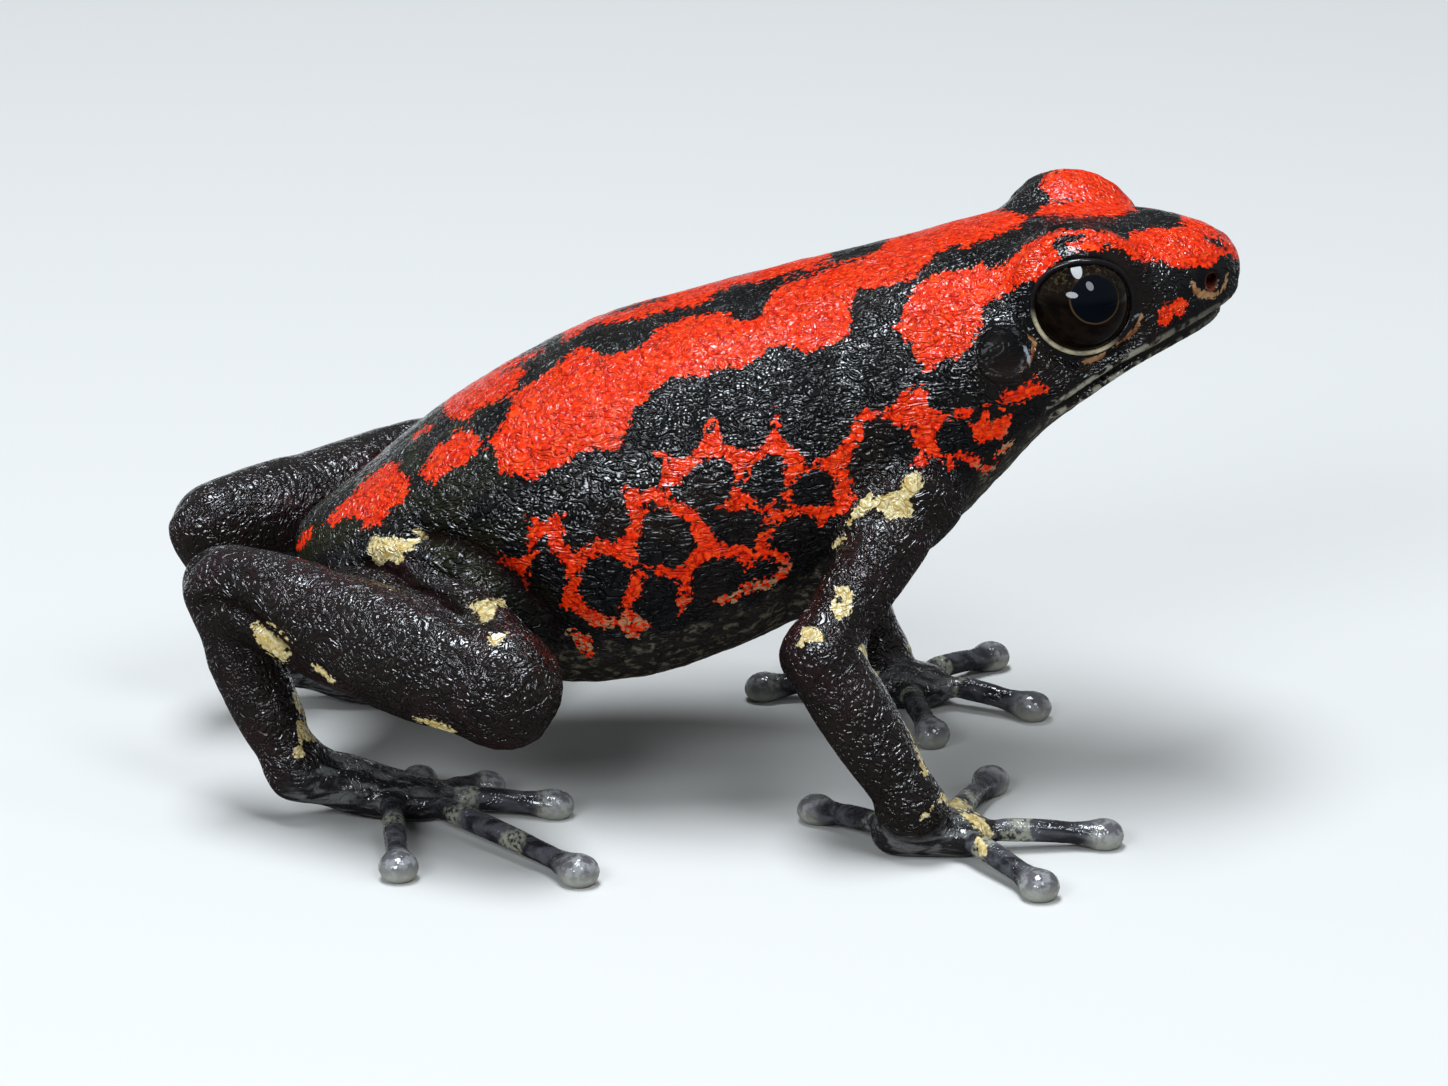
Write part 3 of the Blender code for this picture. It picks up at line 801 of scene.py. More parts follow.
# %% Limb folds
SHANK = [
    (-12.4, -1.2), (-12.0, -.45), (-11.4, .12), (-11.0, .22), (-10.5, .18), (-10.0, .05), (-9.5, -.05),
    (-9.0, -.2), (-8.5, -.32), (-8.0, -.45), (-7.5, -.62), (-7.0, -.85), (-6.5, -1.15), (-6.0, -1.55),
    (-5.6, -1.95), (-5.35, -2.35), (-5.3, -2.6), (-5.0, -9.0), (-12.4, -9.0),
]
TARSUS = [
    (-11.7, -1.45), (-11.4, -1.36), (-10.9, -1.45), (-10.4, -1.85), (-10.0, -2.3), (-9.7, -2.65),
    (-9.5, -3.1), (-9.0, -4.4), (-9.5, -6.5), (-13.0, -3.0), (-12.5, -1.5),
]
THIGH = [
    (-7.4, .1), (-6.9, .16), (-6.3, .02), (-5.8, -.14), (-5.2, -.5), (-4.7, -.9), (-4.3, -1.35),
    (-3.9, -1.95), (-3.6, -2.6), (-3.6, -5.0), (-8.0, -5.0),
]
ARM = [
    (3.9, 1.75), (3.4, 1.45), (3.05, .95), (2.8, .45), (2.55, -.05), (2.3, -.4), (1.9, -1.0),
    (1.5, -1.7), (1.3, -3.0), (6.5, -3.0), (6.0, 1.0), (4.8, 1.8),
]
on_far_limb = (spots[:, 1] > 0) & (body_share <= 0.5)
fold_view = np.where(on_far_limb[:, None], copy_view, near_view)
fold_facing = ramp(np.where(on_far_limb, copy_facing, facing), -0.05, 0.25)
leg_share = ramp(away["body"] - off_nearest("leg"), -0.1, 0.1)
along_view, up_view = fold_view[:, 0], fold_view[:, 1]


def sink_at_edge(outline, depth, outside, inside):
    """A groove along an outline, of a depth and a reach to each side of it."""
    d = outline_depth(fold_view, outline)
    return depth * np.where(d < 0, np.exp(d / outside), np.exp(-d / inside))


shank_fold = sink_at_edge(SHANK, 0.33, 0.50, 0.09) * ramp(along_view, -5.2, -6.2) * leg_share
tarsus_reach = ramp(along_view, -11.9, -11.2) * ramp(up_view, -3.2, -2.5)
tarsus_fold = sink_at_edge(TARSUS, 0.28, 0.30, 0.09) * tarsus_reach * leg_share
groin_reach = ramp(along_view, -7.4, -6.6) * ramp(up_view, -2.7, -1.9)
groin_fold = sink_at_edge(THIGH, 0.36, 0.40, 0.11) * groin_reach
arm_fold = sink_at_edge(ARM, 0.18, 0.28, 0.08) * ramp(along_view, 4.3, 3.2) * body_share
groin_fold[spots[:, 1] > 0] = 0
arm_fold[spots[:, 1] > 0] = 0
fold = np.maximum.reduce([shank_fold, tarsus_fold, groin_fold, arm_fold]) * fold_facing
spots -= normals * fold[:, None]
print("deepest fold", round(float(fold.max()), 2), "mm")

# %% [markdown]
# ## The markings themselves
#
# Each sheet of the layout is one list: red patches, the red net with the
# black gaps that cross it, cream flecks, the few tan folds of the head and its
# painted highlights. The corners stand where a patch really turns, so that
# the frayed edge between them can be left to the material.

# %% Red over the back and head
RED_PATCHES = [
    # over the vent
    [(-8.85, .42), (-8.75, .62), (-8.35, 1.0), (-7.95, 1.42), (-7.5, 1.75), (-7.18, 1.87), (-7.25, 1.6),
     (-7.0, 1.45), (-7.02, 1.0), (-7.4, .78), (-7.62, .42), (-8.0, .33), (-8.1, .5), (-8.22, .66),
     (-8.5, .52), (-8.68, .36)],
    [(-9.6, -.2), (-9.35, .2), (-9.12, .4), (-9.2, .15), (-9.35, -.12)],
    # hips
    [(-6.8, 1.52), (-6.55, 1.85), (-6.45, 2.12), (-6.1, 2.3), (-5.95, 2.52), (-5.6, 2.48), (-5.38, 2.3),
     (-5.4, 2.1), (-5.6, 2.0), (-5.75, 1.75), (-6.05, 1.7), (-6.3, 1.5), (-6.5, 1.27), (-6.62, 1.45)],
    [(-6.15, 2.85), (-5.9, 2.72), (-5.65, 2.8), (-5.5, 3.0), (-5.1, 3.12), (-4.75, 3.35), (-4.55, 3.62),
     (-4.35, 3.88), (-4.8, 3.82), (-5.2, 3.66), (-5.7, 3.4), (-6.3, 3.02)],
    # the broad band along the near side of the back
    [(-5.2, 2.3), (-5.05, 2.0), (-5.0, 1.6), (-4.75, 1.5), (-4.5, 1.55), (-4.25, 1.35), (-4.0, 1.55),
     (-3.75, 1.7),
     (-3.45, 1.78), (-3.35, 2.0), (-2.9, 2.1), (-2.5, 2.05), (-2.25, 2.1), (-2.3, 2.3), (-2.1, 2.6),
     (-2.05, 2.95),
     (-1.75, 3.1), (-1.6, 3.4), (-1.3, 3.6), (-.9, 3.72), (-.4, 3.65), (-.2, 3.85), (.2, 3.95),
     (.55, 3.9), (.75, 4.1),
     (.95, 4.35), (1.25, 4.45), (1.5, 4.35), (1.8, 4.18), (2.1, 4.3), (2.45, 4.45), (2.75, 4.62),
     (2.85, 4.9), (2.8, 5.2),
     (2.85, 5.45), (3.0, 5.65), (3.4, 5.65), (3.9, 5.75), (4.1, 5.85), (4.35, 6.05), (4.6, 6.3),
     (4.8, 6.5), (5.1, 6.58),
     (5.5, 6.6), (5.9, 6.78), (6.3, 6.95), (6.65, 7.1), (6.7, 7.25), (6.3, 7.35), (5.5, 7.5),
     (4.2, 7.3), (3.75, 6.9),
     (3.6, 6.62), (3.4, 6.45), (3.0, 6.25), (2.4, 6.2), (2.25, 6.05), (2.0, 5.98), (1.6, 5.85),
     (1.2, 5.72), (1.0, 5.5),
     (.95, 5.2), (.85, 5.05), (.55, 4.9), (.2, 4.95), (.1, 5.12), (-.3, 5.15), (-.8, 5.0), (-1.2, 4.9),
     (-1.55, 4.7),
     (-1.65, 4.5), (-1.9, 4.35), (-2.3, 4.2), (-2.7, 4.15), (-2.9, 4.28), (-3.2, 4.38), (-3.4, 4.25),
     (-3.6, 4.05),
     (-4.0, 3.75), (-4.4, 3.5), (-4.7, 3.35), (-4.75, 3.0), (-4.85, 2.75), (-5.0, 2.55)],
    # the stripe just past the middle of the back
    [(-3.65, 4.45), (-3.2, 4.68), (-2.9, 4.85), (-2.4, 4.92), (-1.9, 4.98), (-1.4, 5.15), (-.9, 5.22),
     (-.4, 5.38),
     (-.1, 5.55), (0, 5.72), (.5, 5.8), (1.0, 5.84), (1.5, 6.02), (2.0, 6.12), (2.4, 6.32), (2.3, 6.7),
     (1.0, 6.4),
     (0, 6.1), (-1, 5.8), (-2, 5.5), (-3, 5.3), (-3.5, 4.85)],
    # from the shoulder over the eye to the snout
    [(3.6, 4.75), (3.95, 4.85), (4.0, 5.2), (4.1, 5.5), (4.3, 5.75), (4.6, 5.95), (5.0, 6.05),
     (5.5, 6.12), (5.75, 6.22),
     (6.0, 6.1), (6.25, 6.2), (6.45, 6.38), (6.7, 6.6), (7.0, 6.8), (7.4, 6.93), (8.0, 6.97),
     (8.6, 6.9), (9.0, 6.7),
     (9.05, 6.95), (9.5, 7.0), (10.1, 7.0), (10.3, 7.08), (10.1, 7.15), (10.2, 7.4), (10.7, 7.5),
     (11.4, 7.2), (11.8, 6.6),
     (11.6, 6.28), (11.35, 6.3), (11.2, 6.45), (11.0, 6.35), (10.8, 6.15), (10.3, 6.1), (9.9, 6.15),
     (9.75, 6.28),
     (9.4, 6.28), (9.1, 6.3), (8.95, 6.5), (8.7, 6.55), (8.4, 6.5), (8.0, 6.5), (7.7, 6.5), (7.6, 6.78),
     (7.35, 6.72),
     (7.3, 6.45), (7.45, 6.3), (7.35, 6.15), (7.1, 5.95), (6.95, 5.8), (6.6, 5.8), (6.4, 5.65),
     (6.2, 5.5), (6.0, 5.45),
     (5.85, 5.3), (5.7, 5.2), (5.75, 4.95), (5.65, 4.7), (5.5, 4.45), (5.3, 4.3), (5.2, 4.05),
     (5.0, 4.15), (4.75, 3.95),
     (4.55, 3.78), (4.4, 3.85), (4.35, 4.05), (4.15, 4.15), (4.2, 4.4), (4.05, 4.5), (3.9, 4.65)],
    # between the eyes, and the top of the far brow
    [(6.9, 7.3), (7.1, 7.5), (7.5, 7.6), (8.2, 7.62), (8.9, 7.55), (9.2, 7.42), (8.9, 7.32),
     (8.3, 7.28), (7.6, 7.25), (7.2, 7.27)],
    [(7.0, 7.9), (7.1, 8.15), (7.6, 8.4), (8.2, 8.4), (8.8, 8.1), (9.3, 7.7), (9.0, 7.5), (8.4, 7.5),
     (7.8, 7.52), (7.4, 7.62), (7.2, 7.8)],
]

# %% The red net on the flank, cheek and throat
NET = [
    # high on the flank, from the shoulder back
    [(-1.5, 1.98, .08), (-1.28, 1.82, .16), (-1.1, 1.52, .22), (-.85, 1.7, .16), (-.55, 1.95, .13),
     (-.3, 2.15, .2)],
    [(-.25, 2.2, .2), (-.27, 2.5, .14), (-.25, 2.76, .06)],
    [(-1.1, 1.5, .2), (-1.3, 1.25, .13), (-1.5, 1.08, .13), (-1.8, 1.07, .1), (-2.1, 1.08, .12),
     (-2.22, 1.2, .06)],
    [(-.25, 2.15, .2), (0, 2.03, .15), (.3, 1.93, .18), (.6, 1.9, .14), (.9, 2.05, .12),
     (1.12, 2.25, .18), (1.15, 2.55, .12),
     (1.15, 2.75, .07), (1.13, 2.95, .04)],
    [(.3, 1.88, .18), (.42, 1.7, .16), (.38, 1.4, .12)], [(.25, 1.16, .09), (.35, 1.0, .16),
     (.12, .84, .13), (-.02, .73, .07)],
    [(.4, .97, .14), (.68, .86, .1), (.95, .8, .05)],
    [(1.1, 2.2, .16), (1.35, 2.05, .16), (1.6, 1.78, .23), (1.78, 1.65, .1)],
    [(1.55, 1.65, .17), (1.45, 1.33, .1)],
    [(1.42, 1.07, .1), (1.3, 1.02, .08)],
    [(3.2, 2.85, .14), (3.02, 2.75, .15), (2.95, 2.4, .14), (2.78, 2.15, .15), (2.55, 1.85, .2),
     (2.3, 1.7, .15), (2.15, 1.86, .05)],
    [(2.6, 1.75, .18), (2.62, 1.35, .14), (2.58, 1.1, .12), (2.65, .8, .15), (2.77, .6, .07)],
    [(2.66, .85, .12), (2.86, 1.02, .07)],
    [(2.72, 1.38, .1), (2.74, 1.2, .08)], [(2.5, .76, .11), (2.2, .62, .14), (2.14, .4, .06)],
    [(1.85, .76, .1), (2.2, .62, .13)],
    # down from the high row
    [(-2.1, 1.08, .12), (-2.0, .8, .17), (-1.92, .5, .14), (-2.05, .15, .14), (-2.2, -.08, .2),
     (-2.12, -.32, .19), (-1.97, -.48, .07)],
    [(-2.0, .75, .15), (-1.78, .65, .09)],
    [(-2.2, -.1, .2), (-2.5, -.13, .14), (-2.78, -.06, .15), (-3.0, -.25, .14), (-3.3, -.42, .16),
     (-3.5, -.3, .17), (-3.7, -.08, .17),
     (-3.75, .2, .14), (-3.68, .5, .1), (-3.62, .68, .05)],
    [(-3.75, .33, .16), (-4.0, .35, .12), (-4.2, .3, .15), (-4.32, .6, .06)],
    [(-4.2, .25, .13), (-4.3, 0, .09), (-4.24, -.2, .09)],
    [(-3.4, -.45, .17), (-3.35, -.72, .15), (-3.38, -.9, .1), (-3.4, -1.1, .16), (-3.33, -1.35, .15),
     (-3.05, -1.6, .16),
     (-2.85, -1.74, .17), (-2.55, -1.8, .12)],
    [(-3.35, -1.38, .13), (-3.6, -1.45, .09)],
    [(-5.15, -.3, .07), (-4.9, -.5, .15), (-4.6, -.52, .17), (-4.45, -.4, .09)],
    [(-4.52, -.55, .13), (-4.5, -.9, .09), (-4.4, -1.1, .04)],
    [(-1.75, -.6, .06), (-1.95, -.8, .13), (-2.0, -1.05, .16), (-2.12, -1.3, .09)],
    [(-2.22, -1.42, .08), (-2.1, -1.6, .13), (-2.05, -1.78, .18), (-1.75, -1.82, .11)],
    [(-2.22, -1.78, .1), (-2.0, -2.05, .11)],
    [(-1.45, 1.07, .12), (-1.15, .85, .16), (-.85, .7, .19), (-.62, .5, .15), (-.5, .25, .2),
     (-.4, 0, .22), (-.45, -.18, .2),
     (-.6, -.38, .15), (-.8, -.6, .13), (-.85, -.85, .14), (-.85, -1.15, .15), (-.95, -1.45, .1),
     (-1.02, -1.6, .05)],
    [(-1.38, -.62, .14), (-1.1, -.67, .13), (-.88, -.72, .1)],
    [(-.35, -.1, .18), (0, -.2, .13), (.3, -.15, .14), (.5, -.25, .1), (.52, -.5, .1)],
    [(.5, -.35, .09), (.8, -.2, .12), (1.0, -.15, .1)], [(.68, 0, .06), (.95, .15, .13),
     (1.0, .42, .11), (1.0, .78, .06)],
    [(1.0, .48, .09), (1.3, .62, .1), (1.55, .76, .07)],
    [(1.15, -.27, .1), (1.4, -.42, .11), (1.3, -.7, .09), (1.1, -.86, .08), (.75, -.95, .12),
     (.5, -1.0, .1), (.3, -1.15, .08),
     (.05, -1.3, .1), (-.2, -1.26, .04)], [(.52, -.75, .04), (.6, -.95, .1)],
    [(-3.3, -2.12, .1), (-3.08, -2.28, .16), (-3.02, -2.5, .07)], [(-3.5, -2.05, .05)],
    # throat
    [(3.55, 2.85, .06), (3.9, 2.85, .25), (4.25, 2.9, .3), (4.5, 2.7, .3), (4.45, 2.3, .25),
     (4.6, 2.1, .12), (4.75, 1.95, .06)],
    [(4.05, 3.15, .22), (4.4, 3.3, .14)], [(4.2, 3.5, .06), (4.4, 3.45, .03)], [(4.9, 2.75, .1)],
    [(4.45, 1.85, .1), (4.2, 1.75, .05)],
    [(5.3, 2.85, .12), (5.5, 2.95, .06)], [(5.65, 2.5, .15), (5.7, 2.3, .1)],
    [(6.2, 2.7, .15), (6.1, 2.45, .14), (5.8, 2.6, .14), (5.8, 3.0, .05)],
    [(6.25, 3.2, .12), (6.55, 3.3, .16), (6.9, 3.45, .16), (7.15, 3.35, .08)], [(6.9, 3.7, .05)],
    [(5.0, 1.85, .09), (5.05, 1.7, .08)], [(5.2, 1.95, .08), (5.5, 1.85, .12), (5.8, 1.6, .08),
     (6.0, 1.7, .05)], [(6.1, 1.95, .06), (6.4, 2.2, .05)],
    # cheek and hips
    [(9.75, 5.0, .12), (9.85, 5.15, .16), (10.1, 5.2, .16), (10.2, 5.35, .1)], [(9.85, 4.9, .08)],
    [(-6.9, 2.36, .05), (-6.5, 2.58, .06)], [(-6.2, 3.1, .05), (-5.5, 3.55, .1), (-4.9, 3.92, .08),
     (-4.0, 4.3, .03)],
]
BLACK_ON_RED = [
    [(7.38, 6.56, .10), (7.58, 6.73, .09), (7.95, 6.80, .06)], [(7.6, 6.5, .05), (7.75, 6.44, .04)],
    [(8.42, 6.55, .05), (8.62, 6.58, .07)],
    [(6.9, 7.62, .05), (7.5, 7.6, .035), (7.95, 7.62, .02)], [(10.95, 7.02, .03), (11.25, 6.92, .05)],
    [(10.7, 6.78, .04), (10.95, 6.72, .07), (11.1, 6.6, .05)], [(11.07, 6.3, .05)],
    [(-2.7, 5.06, .03), (-1.9, 5.3, .04), (-1.2, 5.5, .03)], [(-4.0, .12, .09)], [(-2.0, -1.8, .05)],
    [(-1.2, 1.17, .12)], [(5.9, 2.74, .05)],
]
red = drawn(RED_PATCHES, NET, web=0.14)
red = np.minimum(red, -drawn(branches=BLACK_ON_RED))
red = np.minimum(red, (body_share - 0.5) * 0.5)
print("share of the skin that is red", round(float((red > 0).mean()), 3))

# %% Cream on the limbs
CREAM_PATCHES = [
    # shoulder
    [(4.0, 1.5), (4.25, 1.58), (4.45, 1.5), (4.4, 1.2), (4.12, 1.0), (4.2, .72), (4.15, .55),
     (3.95, .6), (3.8, .48), (3.6, .52),
     (3.5, .72), (3.3, .74), (3.1, .68), (2.95, .55), (2.8, .4), (2.6, .2), (2.75, .55), (2.95, .9),
     (3.25, 1.2), (3.35, .98),
     (3.6, 1.1), (3.9, 1.15)],
    # knee
    [(-5.85, -1.3), (-5.5, -1.25), (-5.2, -1.27), (-4.95, -1.25), (-4.78, -1.38), (-5.05, -1.4),
     (-5.1, -1.55), (-5.2, -1.75),
     (-5.35, -1.8), (-5.45, -1.6), (-5.6, -1.45)],
    [(-5.25, -2.0), (-5.05, -2.03), (-4.8, -2.0), (-4.95, -2.15), (-5.05, -2.25), (-5.2, -2.3)],
    # inside of the ankle
    [(-9.55, -3.95), (-9.3, -3.95), (-9.15, -4.1), (-9.05, -4.4), (-9.3, -4.42), (-9.45, -4.45),
     (-9.5, -4.2)],
]
THIGH_BASE = [
    [(-7.95, -.38), (-7.9, .1), (-7.8, .18), (-7.5, .1), (-7.35, .15), (-7.1, .08), (-6.9, .2),
     (-6.65, .15), (-6.9, -.02),
     (-6.85, -.12), (-7.1, -.18), (-7.2, -.38), (-7.35, -.45), (-7.45, -.3), (-7.65, -.28), (-7.75, -.42)],
]
CREAM_LINES = [
    [(2.45, -.08, .04), (2.65, .12, .05)], [(2.65, -1.15, .2), (2.6, -1.45, .22)],
    [(1.85, -2.0, .15), (2.1, -2.08, .13)], [(1.7, -2.22, .08)],
    [(3.08, -2.3, .04), (3.4, -2.9, .03)], [(4.1, -4.1, .03), (4.3, -4.6, .05), (4.5, -5.2, .05)],
    [(4.8, -5.72, .05), (4.4, -6.12, .05)], [(4.9, -5.65, .1), (5.35, -5.9, .12), (5.65, -6.2, .15),
     (5.88, -6.45, .08)],
    [(5.65, -6.62, .08), (5.75, -6.85, .1)],
    [(-10.5, -1.85, .05), (-10.3, -2.12, .13), (-10.05, -2.4, .11), (-9.8, -2.65, .05)],
    [(-10.25, -1.78, .03), (-10.0, -1.95, .05), (-9.72, -2.22, .03)],
    [(-9.15, -2.75, .05), (-8.9, -2.9, .06), (-8.65, -3.15, .03)],
    [(-6.85, -3.9, .04), (-6.4, -4.05, .09), (-6.0, -4.2, .05)],
    [(-9.5, -3.35, .07), (-9.4, -3.6, .13), (-9.25, -3.8, .09)], [(-9.45, -4.65, .13)],
]
DARK_ON_CREAM = [
    [(2.56, -1.27, .07)], [(5.45, -5.95, .06), (5.55, -6.02, .04)],
    [(-7.45, -.05, .04), (-7.35, -.12, .04)], [(-7.0, -.1, .03), (-6.85, -.08, .03)],
]
on_limb = off_nearest("arm", "leg", "hand_right", "foot_right")
limb_share = ramp(away["body"] - on_limb, -0.05, 0.15)
cream_share = ramp(away["body"] - on_limb, -0.60, -0.35)
cream = drawn(CREAM_PATCHES, CREAM_LINES)
cream = np.minimum(cream, -drawn(branches=DARK_ON_CREAM))
cream = np.minimum(cream, (cream_share - 0.5) * 0.4)
THIGH_FLECK = [[(-6.98, .34, .05), (-6.85, .3, .06)]]
cream = np.maximum(cream, drawn(THIGH_BASE, THIGH_FLECK))
cream = cream - ramp(-np.where(spots[:, 1] > 0, copy_facing, facing), -0.1, 0.35) * 0.6
print("share of the skin that is cream", round(float((cream > 0).mean()), 3))

# %% Tan folds on the head
TAN_LINES = [
    [(8.0, 4.02, .04), (8.3, 4.1, .05), (8.5, 4.25, .03)], [(8.6, 4.36, .02), (8.95, 4.55, .04),
     (9.2, 4.82, .045), (9.3, 5.08, .02)],
    [(6.78, 4.6, .04), (6.9, 4.42, .06), (6.84, 4.15, .05), (6.7, 3.92, .04), (6.6, 3.8, .02)],
    [(10.42, 5.8, .03), (10.47, 5.62, .08), (10.62, 5.52, .10), (10.85, 5.5, .07), (11.05, 5.58, .03),
     (11.16, 5.8, .02), (11.18, 6.0, .015)],
]
on_body = (body_share - 0.5) * 0.5
tan = np.minimum(drawn(branches=TAN_LINES, web=0.03), on_body)
# Painted highlights: thin pale blue-grey lines where the front rim of the ear disc, the front of the eye,
# the lower lid and the rim of the nostril catch the light.
PAINTED_GLINT_LINES = [
    [(6.55, 4.52, .02), (6.68, 4.36, .04), (6.77, 4.14, .045), (6.78, 3.9, .03)],
    [(9.02, 4.92, .02), (9.15, 5.04, .035), (9.28, 5.12, .02)],
    [(7.1, 4.66, .02), (7.3, 4.5, .035), (7.46, 4.38, .03), (7.6, 4.3, .02)],
    [(10.7, 5.68, .02), (10.88, 5.7, .03), (10.98, 5.85, .02)],
]
pale = np.minimum(drawn(branches=PAINTED_GLINT_LINES, web=0.03), on_body)
print("points under a tan or pale line", int((np.maximum(tan, pale) > 0).sum()))

# %% [markdown]
# ## Small marks that follow a form
#
# The lips, nostrils, ear discs and the bands on the digits follow the
# forms they sit on. Each is stored as a distance from that form, and the
# material turns it into a line or a ring. The distance from the eye only
# smooths the grain round the lids.

# %% Distances from the forms
side = np.where(spots[:, 1] > 0, 1.0, -1.0)
folded = spots * np.stack([np.ones(len(side)), -side, np.ones(len(side))], axis=1)  # all on the near side
eye_way = folded - eye_centre(-1)
eye_along = eye_way @ eye_axis(-1)
eye_out = np.sqrt(np.maximum((eye_way**2).sum(axis=1) - eye_along**2, 0))
eye_out[(eye_along < -0.2) | (eye_out > 2.5)] = 2.5
lips = mouth_height(spots[:, 0], spots[:, 2])
lips = np.where((spots[:, 0] > MOUTH_FROM - 0.15) & (body_share > 0.5), lips, 3.0)
nose = np.linalg.norm((folded - NOSTRIL * across) * (1, 0.5, 0.8), axis=1)
ear = np.linalg.norm((folded - EAR * across) * (1, 0.3, 1), axis=1)

from_tip = np.full(len(spots), 9.0)
on_digit = np.where(grey_share > 0.05)[0]
best = np.full(len(on_digit), np.inf)
for name, tip in digit_tips.items():
    gap = distance_to([name], spots[on_digit])
    closer = gap < best
    best[closer] = gap[closer]
    from_tip[on_digit[closer]] = np.linalg.norm(spots[on_digit[closer]] - tip, axis=1)
print("points near the nostrils", int((nose < 0.2).sum()), "on the ear discs", int((ear < 0.5).sum()))

# %% How far along its limb a point lies, for wrinkles that ring the limb
ring_along, ring_share = np.zeros(len(spots)), np.zeros(len(spots))
for side_name, chains in JOINTS.items():
    for limb, chain in chains.items():
        set_name = f"{limb}_{side_name}"
        others = np.min([away[name] for name in away if name != set_name], axis=0)
        own = ramp(others - away[set_name], -0.05, 0.25)
        chain = np.array(chain)
        gaps, shares = off_chain(spots, chain)
        order = np.sort(gaps, axis=0)
        clear = ramp(order[1] - order[0], 0.02, 0.3)
        nearest = np.argmin(gaps, axis=0)
        for i, share in enumerate(shares):
            mine = (nearest == i) & (own > 0)
            ends = ramp(share, 0.02, 0.16) * ramp(share, 0.98, 0.84)
            ring_along[mine] = share[mine] * np.linalg.norm(chain[i + 1] - chain[i])
            ring_share[mine] = (ends * own * clear)[mine]
print("points with rings", int((ring_share > 0.5).sum()))

# %% Where the skin is wet, and where its relief changes
sideways, upward = np.abs(normals[:, 1]), normals[:, 2]
belly = ramp(-upward, 0.15, 0.75) * body_share
flank = body_share * ramp(sideways, 0.35, 0.75)
head_share = ramp(spots[:, 0], 4.6, 6.6) * body_share
wet_body = np.maximum(0.10 + 0.90 * ramp(upward, -0.05, 0.40), 0.75 * ramp(spots[:, 0], 6.0, 7.5))
wet = wet_body * body_share + (1 - body_share) * (0.6 + 0.4 * ramp(upward, -0.4, 0.2))
wet *= 1 - 0.95 * ramp(fold, 0.13, 0.24)
wet *= 1 - 0.45 * body_share * ramp(upward, 0.87, 0.98)
print("share of the skin that is belly", round(float((belly > 0.5).mean()), 3))

# %% [markdown]
# ## Grain in the skin
#
# Frog skin is set with low granules that run into one another. They follow
# the whole surface, so Geometry Nodes lay them: a Voronoi pattern in the
# skin's own space lifts each point along its normal, and an attribute says
# where the skin is smoother, as on the lids, lips, ear discs and digits.

# %% Grain tree


def grain_tree():
    tree = bpy.data.node_groups.new("skin grain", "GeometryNodeTree")
    face_of = tree.interface
    face_of.new_socket("Geometry", in_out="INPUT", socket_type="NodeSocketGeometry")
    sizes = (("Granule size", 0.34), ("Granule height", 0.034), ("Fold size", 1.1), ("Fold height", 0.045))
    for name, value in sizes:
        face_of.new_socket(name, in_out="INPUT", socket_type="NodeSocketFloat").default_value = value
    face_of.new_socket("Finish", in_out="INPUT", socket_type="NodeSocketMaterial")
    face_of.new_socket("Geometry", in_out="OUTPUT", socket_type="NodeSocketGeometry")
    node, link = tree.nodes.new, tree.links.new
    start, end = node("NodeGroupInput"), node("NodeGroupOutput")

    def maths(operation, a, b):
        made = node("ShaderNodeMath")
        made.operation = operation
        for socket, value in zip(made.inputs, (a, b)):
            if isinstance(value, (int, float)):
                socket.default_value = value
            else:
                link(value, socket)
        return made.outputs[0]

    place = node("GeometryNodeInputPosition").outputs[0]
    cells = node("ShaderNodeTexVoronoi")
    cells.feature = "SMOOTH_F1"
    cells.inputs["Smoothness"].default_value = 0.35
    link(place, cells.inputs["Vector"])
    link(maths("DIVIDE", 1.0, start.outputs["Granule size"]), cells.inputs["Scale"])
    folds = node("ShaderNodeTexNoise")
    folds.inputs["Detail"].default_value = 2.0
    folds.inputs["Distortion"].default_value = 0.8
    link(place, folds.inputs["Vector"])
    link(maths("DIVIDE", 1.0, start.outputs["Fold size"]), folds.inputs["Scale"])
    amount = node("GeometryNodeInputNamedAttribute")
    amount.data_type = "FLOAT"
    amount.inputs["Name"].default_value = "grain"
    granule = maths("SUBTRACT", 0.45, cells.outputs["Distance"])
    granule = maths("MULTIPLY", granule, start.outputs["Granule height"])
    fold = maths("SUBTRACT", folds.outputs["Fac"], 0.5)
    fold = maths("MULTIPLY", fold, start.outputs["Fold height"])
    lift = maths("MULTIPLY", maths("ADD", granule, fold), amount.outputs["Attribute"])
    along = node("ShaderNodeVectorMath")
    along.operation = "SCALE"
    link(node("GeometryNodeInputNormal").outputs[0], along.inputs[0])
    link(lift, along.inputs["Scale"])
    move = node("GeometryNodeSetPosition")
    link(start.outputs["Geometry"], move.inputs["Geometry"])
    link(along.outputs[0], move.inputs["Offset"])
    plain = node("GeometryNodeRealizeInstances")
    link(move.outputs[0], plain.inputs[0])
    dress = node("GeometryNodeSetMaterial")
    link(plain.outputs[0], dress.inputs["Geometry"])
    link(start.outputs["Finish"], dress.inputs["Material"])
    link(dress.outputs[0], end.inputs[0])
    return tree


def give(mesh, name, values):
    """Stores one number at each point of a mesh."""
    layer = mesh.attributes.new(name, "FLOAT", "POINT")
    layer.data.foreach_set("value", np.asarray(values, np.float32))


